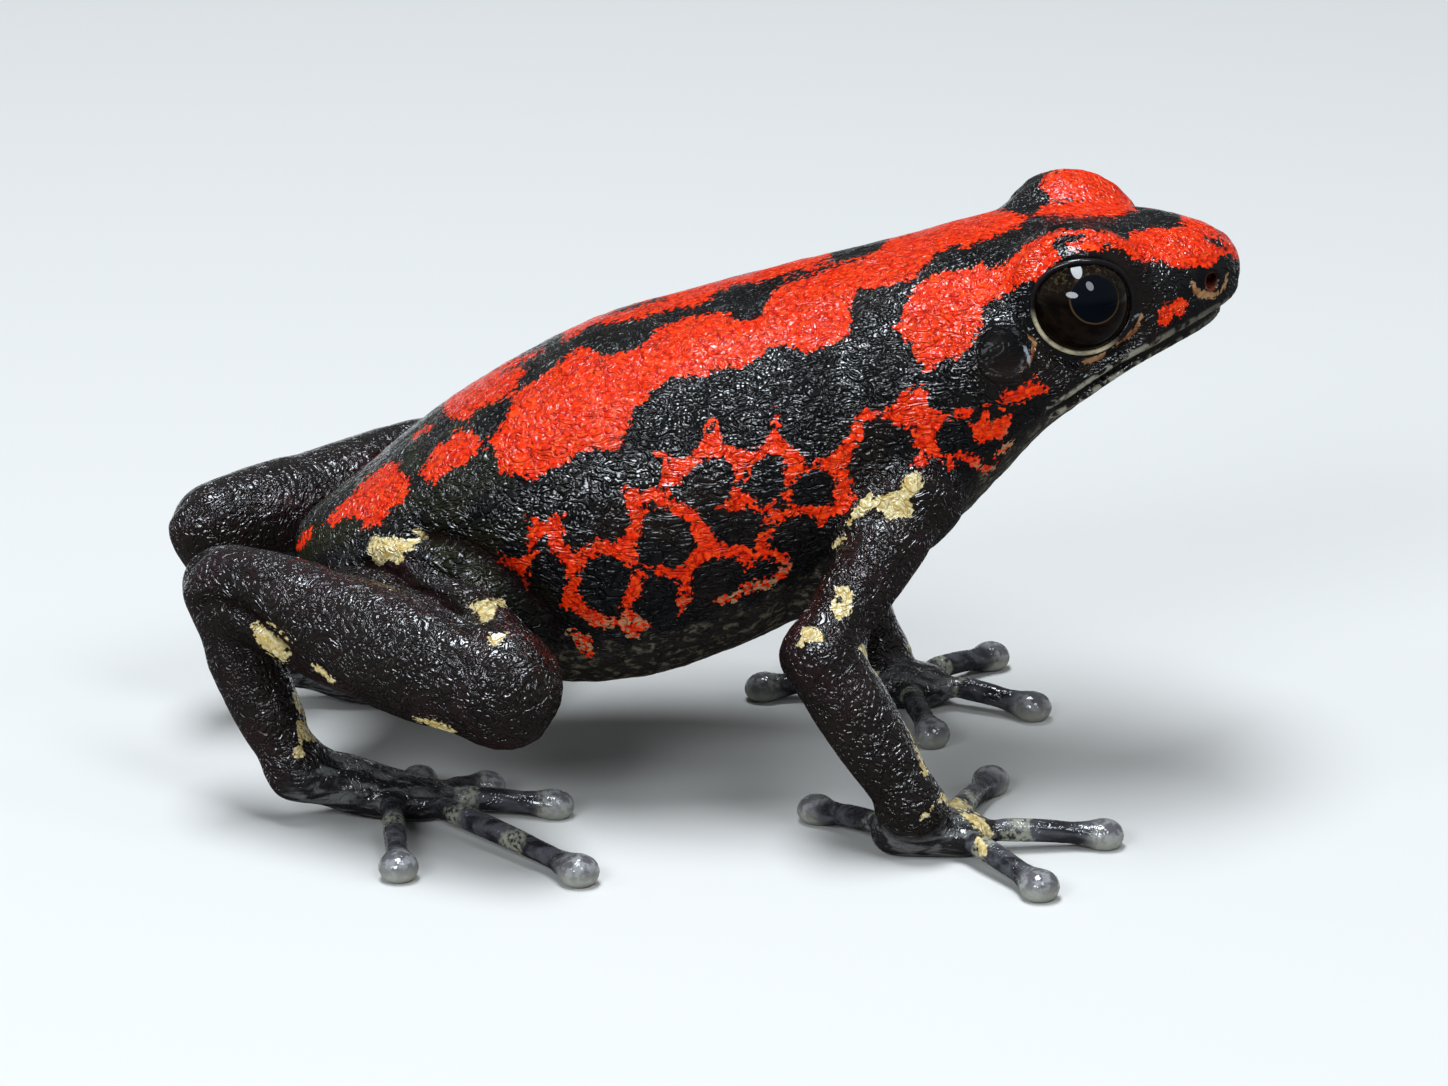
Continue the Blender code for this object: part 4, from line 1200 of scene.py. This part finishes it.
KNEE_GRAIN = 0.9  # the wrinkles are deepest on the knees
smoother = (1 - 0.8 * grey_share) * (1 - 0.4 * palm_share) * (1 - 0.9 * ramp(eye_out, 1.5, 1.15))
beside_forms = ramp(np.abs(lips), 0.1, 0.5) * ramp(ear, 0.5, 0.8) * ramp(nose, 0.3, 0.6)
off_knee = [np.linalg.norm(spots - np.array(limbs["leg"][1]), axis=1) for limbs in JOINTS.values()]
knees = ramp(np.min(off_knee, axis=0), 2.6, 1.0)
grain = smoother * beside_forms * (1 - 0.25 * limb_share) * (1 + KNEE_GRAIN * knees)
grain = grain * ramp(spots[:, 2], 0.1, 0.5) * ramp(fold, 0.36, 0.12)
give(skin_mesh, "grain", grain)
skin_mesh.vertices.foreach_set("co", spots.astype(np.float32).ravel())
print("grain from", round(float(grain.min()), 2), "to", round(float(grain.max()), 2))

# %% [markdown]
# ## Words for the nodes of a material
#
# A material of many mixes is hard to read as sockets and links. A small class
# gives its nodes short words, so that a finish reads as a recipe. All patterns
# read the object's own coordinates, in millimetres.

# %% Node helper


class Nodes:
    """Short words for the nodes of one material."""

    def __init__(self, name):
        self.material = bpy.data.materials.new(name)
        self.material.use_nodes = True
        self.tree = self.material.node_tree
        self.shader = self.tree.nodes["Principled BSDF"]
        scaled = self.new("ShaderNodeVectorMath", operation="SCALE")
        self.plug(self.new("ShaderNodeTexCoord").outputs["Object"], scaled.inputs[0])
        scaled.inputs["Scale"].default_value = 1000.0
        self.mm = scaled.outputs[0]

    def new(self, kind, **settings):
        made = self.tree.nodes.new(kind)
        for key, value in settings.items():
            setattr(made, key, value)
        return made

    def plug(self, value, socket):
        if isinstance(value, bpy.types.NodeSocket):
            self.tree.links.new(value, socket)
        elif isinstance(value, tuple) and len(value) == 3 and socket.type == "RGBA":
            socket.default_value = (*value, 1)
        else:
            socket.default_value = value

    def finish(self, name, value):
        """Plugs a value or a number into the shader."""
        self.plug(value, self.shader.inputs[name])

    def maths(self, operation, a, b=0.0, c=0.0):
        made = self.new("ShaderNodeMath", operation=operation)
        for socket, value in zip(made.inputs, (a, b, c)):
            self.plug(value, socket)
        return made.outputs[0]

    def times(self, first, *others):
        for value in others:
            first = self.maths("MULTIPLY", first, value)
        return first

    def plus(self, first, *others):
        for value in others:
            first = self.maths("ADD", first, value)
        return first

    def rest(self, share):
        """What a share leaves of one."""
        return self.maths("SUBTRACT", 1.0, share)

    def about_zero(self, pattern, width):
        """A pattern from 0 to 1, moved about zero and stretched to a width."""
        return self.times(self.maths("SUBTRACT", pattern, 0.5), width)

    def step(self, value, low, high, to_low=0.0, to_high=1.0):
        made = self.new("ShaderNodeMapRange", interpolation_type="SMOOTHSTEP")
        for socket, entry in zip(made.inputs[:5], (value, low, high, to_low, to_high)):
            self.plug(entry, socket)
        return made.outputs[0]

    def line_at(self, value, middle, outer, inner):
        """1 on a line where a value is near a middle, 0 farther off than outer."""
        off = self.maths("ABSOLUTE", self.maths("SUBTRACT", value, middle))
        return self.step(off, outer, inner)

    def worms(self, pattern, width):
        """Winding grooves, where a pattern passes through its middle."""
        return self.line_at(pattern, 0.5, 0.0, width)

    def noise(self, size, detail=2.0, distortion=0.0, place=None, roughness=0.5):
        made = self.new("ShaderNodeTexNoise")
        self.plug(place or self.mm, made.inputs["Vector"])
        settings = {"Scale": 1 / size, "Detail": detail, "Distortion": distortion, "Roughness": roughness}
        for key, value in settings.items():
            made.inputs[key].default_value = value
        return made.outputs["Fac"]

    def cells(self, size):
        made = self.new("ShaderNodeTexVoronoi")
        self.plug(self.mm, made.inputs["Vector"])
        made.inputs["Scale"].default_value = 1 / size
        return made.outputs

    def stored(self, name):
        return self.new("ShaderNodeAttribute", attribute_name=name).outputs["Fac"]

    def blend(self, share, a, b):
        made = self.new("ShaderNodeMix", data_type="RGBA")
        for socket, value in zip((made.inputs[0], made.inputs[6], made.inputs[7]), (share, a, b)):
            self.plug(value, socket)
        return made.outputs[2]

    def mottled(self, pattern, low, high, dark, light):
        """A colour that runs from dark to light as a pattern rises."""
        return self.blend(self.step(pattern, low, high), dark, light)

    def painted(self, ground, share, colour, cover):
        """A ground with a colour laid over a share of it, and not quite covering."""
        return self.blend(self.times(share, cover), ground, colour)

    def drawn_out(self, by):
        """The place in mm, with each axis scaled."""
        made = self.new("ShaderNodeVectorMath", operation="MULTIPLY")
        self.plug(self.mm, made.inputs[0])
        made.inputs[1].default_value = by
        return made.outputs[0]

    def split(self, vector):
        made = self.new("ShaderNodeSeparateXYZ")
        self.plug(vector, made.inputs[0])
        return made.outputs

    def looks_up(self, low, high, to_low, to_high):
        """A number that rises as the surface turns from the floor to the sky."""
        normal = self.new("ShaderNodeNewGeometry").outputs["Normal"]
        return self.step(self.split(normal)["Z"], low, high, to_low, to_high)

    def bump(self, height, distance):
        made = self.new("ShaderNodeBump")
        made.inputs["Strength"].default_value = 1.0
        made.inputs["Distance"].default_value = distance
        self.plug(height, made.inputs["Height"])
        return made.outputs["Normal"]


# %% [markdown]
# ## The skin's colour
#
# Wet skin is a colour under a thin clear film. The colour comes from the
# markings: a fine noise, and a chance drawn for each granule, are added to
# each stored depth before it is cut, which frays the edge granule by granule.
# The black of the ground is never one black: it is olive towards the rump,
# and brown and plum on the limbs.

# %% Patterns that the whole skin shares
film = Nodes("frog_skin")
times, plus, rest, step = film.times, film.plus, film.rest, film.step
noise, stored, about_zero = film.noise, film.stored, film.about_zero
fine_noise, mid_noise, slow_noise = noise(0.11, 3.0), noise(0.42, 2.0), noise(1.8, 3.0)
draw = film.new("ShaderNodeSeparateColor")
film.plug(film.cells(0.085)["Color"], draw.inputs[0])
chance, other_chance = draw.outputs["Red"], draw.outputs["Green"]
fray = plus(about_zero(fine_noise, 0.20), about_zero(mid_noise, 0.12), about_zero(chance, 0.11))
along_x, _, height_z = film.split(film.mm)
limb = stored("limb")


def marked(name, ragged, low, high):
    """Where a stored depth, with its edge made ragged, lies inside its marking."""
    return step(plus(stored(name), ragged), low, high)


# %% Black ground
ground = film.mottled(slow_noise, 0.45, 0.75, (0.0042, 0.0040, 0.0044), (0.011, 0.0075, 0.006))
olive = times(step(along_x, -2.0, -6.5), step(noise(0.9, 3.0), 0.42, 0.62), rest(limb))
plum = times(limb, step(noise(1.3, 2.0), 0.45, 0.7))
ground = film.painted(ground, olive, (0.018, 0.019, 0.006), 0.6)
ground = film.painted(ground, limb, (0.013, 0.0085, 0.0065), 0.5)
ground = film.painted(ground, plum, (0.020, 0.0085, 0.010), 0.65)

# %% Belly, grey and cream marbled with black
marble = noise(0.27, 5.0, 0.6, roughness=0.62)
belly_colour = film.mottled(marble, 0.50, 0.64, (0.018, 0.015, 0.013), (0.135, 0.115, 0.080))
belly_cut = marked("belly", about_zero(mid_noise, 0.9), 0.45, 0.85)
ground = film.painted(ground, belly_cut, belly_colour, 0.75)
print("nodes for the ground and the belly", len(film.tree.nodes))

# %% Hands and feet: grey streaks with painted highlights, pale bands and clear grey discs
from_tip_mm = plus(stored("from_tip"), about_zero(noise(0.45, 3.0), 1.1))
band = step(film.maths("SINE", times(from_tip_mm, 3.3)), 0.35, 1.0)
band = times(band, step(fine_noise, 0.34, 0.56))
# The lighter streaks along digits, palms and soles are partly grey skin and partly painted highlight,
# where wet lines catch the light.
streaked = film.drawn_out((0.30, 0.8, 1.0))
digit_grey_and_glint_streaks, palm_grey_and_glint_streaks = noise(0.26, 3.0, 0.4, streaked), noise(0.24, 4.0, 0.5, streaked)
digit_colour = film.mottled(digit_grey_and_glint_streaks, 0.40, 0.68, (0.018, 0.017, 0.020), (0.080, 0.081, 0.090))
digit_colour = film.painted(digit_colour, band, (0.36, 0.36, 0.28), 0.8)
disc_share = step(stored("from_tip"), 1.0, 0.55)
disc_colour = film.mottled(noise(0.22, 3.0), 0.42, 0.62, (0.10, 0.096, 0.10), (0.26, 0.26, 0.265))
disc_colour = film.painted(disc_colour, step(height_z, 0.52, 0.12), (0.36, 0.36, 0.31), 0.75)
digit_colour = film.blend(disc_share, digit_colour, disc_colour)
palm_colour_and_painted_glints = film.mottled(palm_grey_and_glint_streaks, 0.44, 0.62, (0.016, 0.015, 0.016), (0.150, 0.152, 0.148))
ground = film.painted(ground, stored("palm"), palm_colour_and_painted_glints, 0.8)
grey_cut = marked("grey", about_zero(mid_noise, 0.6), 0.35, 0.75)
ground = film.blend(grey_cut, ground, digit_colour)

# %% Cream flecks
cream_cut = marked("cream", times(fray, 0.7), -0.008, 0.012)
cream_colour = film.mottled(fine_noise, 0.40, 0.62, (0.50, 0.35, 0.11), (0.70, 0.60, 0.33))
ground = film.blend(cream_cut, ground, cream_colour)

# %% Red, with orange and dark granules, and some cream where it runs into the belly
red_cut = marked("red", fray, -0.010, 0.014)
red_colour = film.mottled(fine_noise, 0.34, 0.62, (0.50, 0.010, 0.002), (0.87, 0.034, 0.003))
red_colour = film.painted(red_colour, step(other_chance, 0.55, 1.0), (0.90, 0.085, 0.012), 0.7)
red_colour = film.painted(red_colour, step(chance, 0.25, 0.02), (0.30, 0.008, 0.003), 0.6)
red_low = times(step(stored("belly"), 0.02, 0.35), step(other_chance, 0.35, 0.6))
red_colour = film.blend(red_low, red_colour, (0.38, 0.22, 0.11))
ground = film.blend(red_cut, ground, red_colour)
print("nodes with the markings", len(film.tree.nodes))

# %% Tan folds and painted highlight lines on the head, and painted shade inside the limb folds
tan_colour = film.mottled(mid_noise, 0.4, 0.6, (0.20, 0.065, 0.025), (0.40, 0.22, 0.10))
tan_cut = marked("tan", times(fray, 0.4), -0.01, 0.02)
ground = film.painted(ground, tan_cut, tan_colour, 0.9)
# Painted shade: the deepest part of each limb fold is darkened to near black.
ground = film.painted(ground, step(stored("fold"), 0.16, 0.28), (0.010, 0.004, 0.004), 0.7)
# Painted highlight: the glint lines are laid on as a pale blue-grey colour.
painted_glint_cut = marked("pale", times(fray, 0.15), -0.01, 0.02)
ground = film.painted(ground, painted_glint_cut, (0.24, 0.27, 0.30), 0.85)

# %% Lips and nostrils
lip_height = film.maths("ABSOLUTE", stored("lips"))
ground = film.blend(step(lip_height, 0.07, 0.03), ground, (0.006, 0.005, 0.005))
lip_band = film.line_at(lip_height, 0.17, 0.12, 0.05)
to_snout = step(along_x, 10.8, 9.2, 0.35, 1.0)
lip_pale = times(lip_band, step(noise(0.24, 4.0), 0.43, 0.58), to_snout)
ground = film.painted(ground, lip_pale, (0.30, 0.28, 0.22), 0.85)
ground = film.blend(step(stored("nose"), 0.21, 0.14), ground, (0.16, 0.035, 0.016))
film.finish("Base Color", ground)
print("nodes for the whole colour", len(film.tree.nodes))

# %% [markdown]
# ## The skin's relief and its film
#
# The film is the coat of the Principled shader. A fine winding bump breaks its
# glints into short bright worms: round ones on the back, drawn out along the
# flank, and rings on the limbs. Damp ground mirrors as near black, but a pale
# floor would not, so the film is thinned wherever the fine relief looks down.
# It is thinner in slow patches too, and nearly gone on the dry ear disc.

# %% Skin relief
swirl = film.worms(noise(0.30, 1.0, 1.4), 0.15)
swirl = plus(swirl, times(film.worms(noise(0.19, 1.0, 1.2), 0.16), limb, 0.05))
ridge = film.worms(noise(0.30, 1.0, 1.6, film.drawn_out((0.62, 1.0, 1.15))), 0.16)
flank_share = stored("flank")
on_head = stored("head")
wrinkle = plus(times(swirl, rest(flank_share)), times(ridge, flank_share, 1.25))
wrinkle = times(wrinkle, rest(times(on_head, 0.5)))
ring_turn = plus(times(stored("ring_along"), 29.0), times(noise(0.5, 3.0, 0.8), 27.0))
ring_wave = times(film.maths("SINE", ring_turn), stored("ring_share"), 0.10)
granule = step(film.cells(0.11)["Distance"], 0.0, 0.6, 1.0, 0.0)
granule_share = plus(film.maths("SUBTRACT", 0.2, times(limb, 0.12)), times(on_head, 0.3))
relief = plus(wrinkle, ring_wave, times(granule, granule_share))
relief_share = times(film.maths("MINIMUM", stored("grain"), 1.0), 0.90)
relief_share = plus(relief_share, times(rest(disc_share), 0.10))
uneven = film.bump(times(relief, relief_share), 0.00005)
film.finish("Normal", uneven)
film.finish("Coat Normal", uneven)

# %% Skin film
open_to_sky = times(step(film.split(uneven)["Z"], 0.06, 0.40), stored("wet"))
patchy = step(noise(1.2, 2.0, 0.5), 0.34, 0.56, 0.40, 1.0)
open_to_sky = times(open_to_sky, film.maths("MAXIMUM", patchy, times(limb, 0.8)))
ear_disc = step(stored("ear"), 0.62, 0.50)
film_share = times(rest(times(ear_disc, 0.93)), rest(times(red_cut, 0.15)))
film.finish("Coat Weight", times(plus(times(open_to_sky, 0.93), 0.07), film_share))
film.finish("Specular IOR Level", times(open_to_sky, 0.11, rest(times(red_cut, 0.6))))
rough = plus(times(slow_noise, 0.5), times(fine_noise, 0.5))
rough = step(rough, 0.3, 0.7, 0.20, 0.36)
film.finish("Roughness", times(rough, rest(times(disc_share, 0.5))))
film.finish("IOR", 1.36)
film.finish("Coat IOR", 1.66)
film.finish("Coat Roughness", 0.085)
print("nodes in the skin", len(film.tree.nodes))

# %% Lay the grain and finish the skin
marks = {
    "red": red, "cream": cream, "belly": belly, "tan": tan, "pale": pale, "fold": fold, "wet": wet,
    "grey": grey_share, "palm": palm_share, "limb": limb_share, "flank": flank, "head": head_share,
    "from_tip": from_tip, "ring_along": ring_along, "ring_share": ring_share,
    "lips": lips, "nose": nose, "ear": ear,
}
for name, values in marks.items():
    give(skin_mesh, name, values)
lay = skin.modifiers.new("grain", "NODES")
lay.node_group = grain_tree()
for item in lay.node_group.interface.items_tree:
    if item.item_type == "SOCKET" and item.in_out == "INPUT" and item.name == "Finish":
        lay[item.identifier] = film.material
laid = settled(skin)
lowest = np.array((-np.inf, -np.inf, 0.0))  # the pads rest flat on the floor
resting = to_frame(np.maximum(points_of(laid), lowest))
laid.vertices.foreach_set("co", resting.astype(np.float32).ravel())
laid.update()
laid.shade_smooth()
print("skin points", len(laid.vertices), "faces", len(laid.polygons))
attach(skin, "root")
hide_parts(*flesh)

# %% [markdown]
# ## Eyes
#
# The eye is a glossy ball with a low bulge in front and a nearly black iris
# painted on it, so the pupil shows as a blue-black oval with a thin bronze
# edge. The ball is made of rings that run round the line of sight, so the
# pupil and the iris can be drawn with two stored numbers: how far a point is
# from the middle of the pupil, and how far it is above the line of sight.

# %% Shared by the eyes and the rims of their lids


def about(axis):
    """Two directions square to an axis: ahead, and up."""
    ahead = unit(np.array((1.0, 0, 0)) - axis[0] * axis)
    above = np.cross(axis, ahead)
    return ahead, above * np.sign(above[2])


def ring_faces(rings, spokes, steps):
    """Four-sided faces over that many steps between rings of points, the last leading to the first."""
    faces = []
    for i in range(steps):
        for j in range(spokes):
            a, b = (i + 1) % rings, (j + 1) % spokes
            faces.append((i * spokes + j, a * spokes + j, a * spokes + b, i * spokes + b))
    return faces


def turns_of(count):
    return np.arange(count) * 2 * math.pi / count


def name_of(piece, side):
    return piece + ("_left" if side > 0 else "_right")


def finished(name, mesh, finish):
    """Turns the faces outward, as rings may run the other way round, and adds the piece."""
    made = bmesh.new()
    made.from_mesh(mesh)
    bmesh.ops.recalc_face_normals(made, faces=made.faces)
    made.to_mesh(mesh)
    made.free()
    mesh.shade_smooth()
    mesh.materials.append(finish.material)
    piece = placed(name, mesh)
    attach(piece, "root")
    print(name, "faces", len(mesh.polygons))
    return piece


# %% Eye balls
SIGHT = (0.28, 0.91, 0.32)
RINGS, SPOKES = 56, 96
BALL_RADIUS, BULGE, BULGE_REACH = 1.13, 0.05, 0.62
PUPIL_HALF = (0.54, 0.52)


def eye_ball(side):
    centre = eye_centre(side)
    sight = unit((SIGHT[0], SIGHT[1] * side, SIGHT[2]))
    ahead, above = about(sight)
    angle = np.linspace(0, math.pi, RINGS + 1)[1:-1]
    turn = turns_of(SPOKES)
    radius = BALL_RADIUS + BULGE * np.exp(-((angle / BULGE_REACH) ** 2))
    spokes = np.cos(turn)[:, None] * ahead + np.sin(turn)[:, None] * above
    ahead_by, out_by = (radius * np.cos(angle))[:, None, None], (radius * np.sin(angle))[:, None, None]
    rings = ahead_by * sight + out_by * spokes
    poles = [sight * (BALL_RADIUS + BULGE), -sight * BALL_RADIUS]
    points = np.concatenate([rings.reshape(-1, 3), poles]) + centre
    count = len(angle)
    faces = ring_faces(count, SPOKES, count - 1)
    front, back, last = count * SPOKES, count * SPOKES + 1, (count - 1) * SPOKES
    faces += [(front, j, (j + 1) % SPOKES) for j in range(SPOKES)]
    faces += [(back, last + (j + 1) % SPOKES, last + j) for j in range(SPOKES)]
    mesh = bpy.data.meshes.new(name_of("eyeball", side))
    mesh.from_pydata(to_frame(points).tolist(), [], faces)
    way = points - centre
    from_pupil = np.hypot((way @ ahead) / PUPIL_HALF[0], (way @ above) / PUPIL_HALF[1])
    give(mesh, "pupil", from_pupil * np.where(way @ sight > 0, 1, 5))
    give(mesh, "low", way @ above)
    mesh.update()
    return mesh


# %% Eye material
gel = Nodes("frog_eye")
high = gel.step(gel.stored("low"), -0.15, 0.55)
fleck = gel.times(gel.step(gel.noise(0.09, 4.0, 1.0), 0.52, 0.66), high)
iris = gel.mottled(gel.noise(0.35, 2.0), 0.4, 0.65, (0.0022, 0.0014, 0.0011), (0.0075, 0.0042, 0.0026))
iris = gel.painted(iris, fleck, (0.16, 0.115, 0.045), 0.24)
pupil = gel.plus(gel.stored("pupil"), gel.about_zero(gel.noise(0.2, 2.0), 0.05))
bronze = gel.step(gel.stored("low"), 0.25, -0.25, 0.12, 0.8)
iris = gel.painted(iris, gel.line_at(pupil, 1.03, 0.05, 0.01), (0.075, 0.045, 0.022), bronze)
iris = gel.blend(gel.step(pupil, 1.02, 0.96), iris, (0.0012, 0.0022, 0.0042))
gel.finish("Base Color", iris)
gel.finish("Roughness", gel.step(gel.noise(0.3, 2.0), 0.3, 0.7, 0.03, 0.06))
gel.finish("IOR", 1.42)
gel.finish("Specular IOR Level", gel.looks_up(0.10, 0.34, 0.02, 0.5))
for side in (-1, 1):
    ball = finished(name_of("eyeball", side), eye_ball(side), gel)
    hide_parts(name_of("eye", side))

# %% [markdown]
# ## Rims of the lids
#
# Where the lids meet the ball they have a smooth wet edge, black above and
# cream below. It is thinner than the skin's mesh can show, so each rim is a
# fine tube of its own that runs round the opening, with its thickness and
# its colour set by how far round it one is.

# %% Lid rims
RIM_STEPS, RIM_SIDES = 144, 12
RIM_RADIUS, RIM_FULLER = 0.055, 0.015  # the tube, and what it gains at the top


def lid_rim(side):
    centre, axis = eye_centre(side), eye_axis(side)
    ahead, above = about(axis)
    turn = turns_of(RIM_STEPS)
    along = lid_edge(np.sin(turn))
    radius = EYE_RADIUS + 0.02
    out = np.sqrt(radius**2 - along**2)
    spokes = np.cos(turn)[:, None] * ahead + np.sin(turn)[:, None] * above
    middle = centre + along[:, None] * axis + out[:, None] * spokes
    outward = (middle - centre) / radius
    way = np.roll(middle, -1, axis=0) - np.roll(middle, 1, axis=0)
    way /= np.linalg.norm(way, axis=1)[:, None]
    beside = np.cross(way, outward)
    thick = RIM_RADIUS + RIM_FULLER * np.maximum(np.sin(turn), 0) ** 2
    lap = turns_of(RIM_SIDES)[None, :, None]
    rings = np.cos(lap) * outward[:, None] + np.sin(lap) * beside[:, None]
    rings = middle[:, None] + thick[:, None, None] * rings
    mesh = bpy.data.meshes.new(name_of("lid_rim", side))
    faces = ring_faces(RIM_STEPS, RIM_SIDES, RIM_STEPS)
    mesh.from_pydata(to_frame(rings.reshape(-1, 3)).tolist(), [], faces)
    give(mesh, "turn_high", np.repeat(np.sin(turn), RIM_SIDES))
    give(mesh, "turn_fore", np.repeat(np.cos(turn), RIM_SIDES))
    return mesh


# %% Rim material
edge = Nodes("lid_edge")
cream_edge = edge.times(
    edge.step(edge.stored("turn_high"), -0.05, -0.35), edge.step(edge.stored("turn_fore"), 0.75, 0.35),
    edge.step(edge.noise(0.25, 3.0), 0.30, 0.55, 0.45, 1.0))
black_edge = edge.blend(edge.noise(0.3, 3.0), (0.004, 0.004, 0.005), (0.012, 0.010, 0.010))
edge.finish("Base Color", edge.blend(cream_edge, black_edge, (0.46, 0.40, 0.26)))
edge.finish("Roughness", edge.step(edge.noise(0.12, 2.0), 0.3, 0.7, 0.16, 0.34))
edge.finish("Normal", edge.bump(edge.noise(0.09, 2.0), 0.00001))
edge.finish("Coat Weight", edge.looks_up(0.1, 0.5, 0.0, 0.5))
edge.finish("Specular IOR Level", edge.looks_up(0.1, 0.5, 0.05, 0.4))
for side in (-1, 1):
    finished(name_of("lid_rim", side), lid_rim(side), edge)
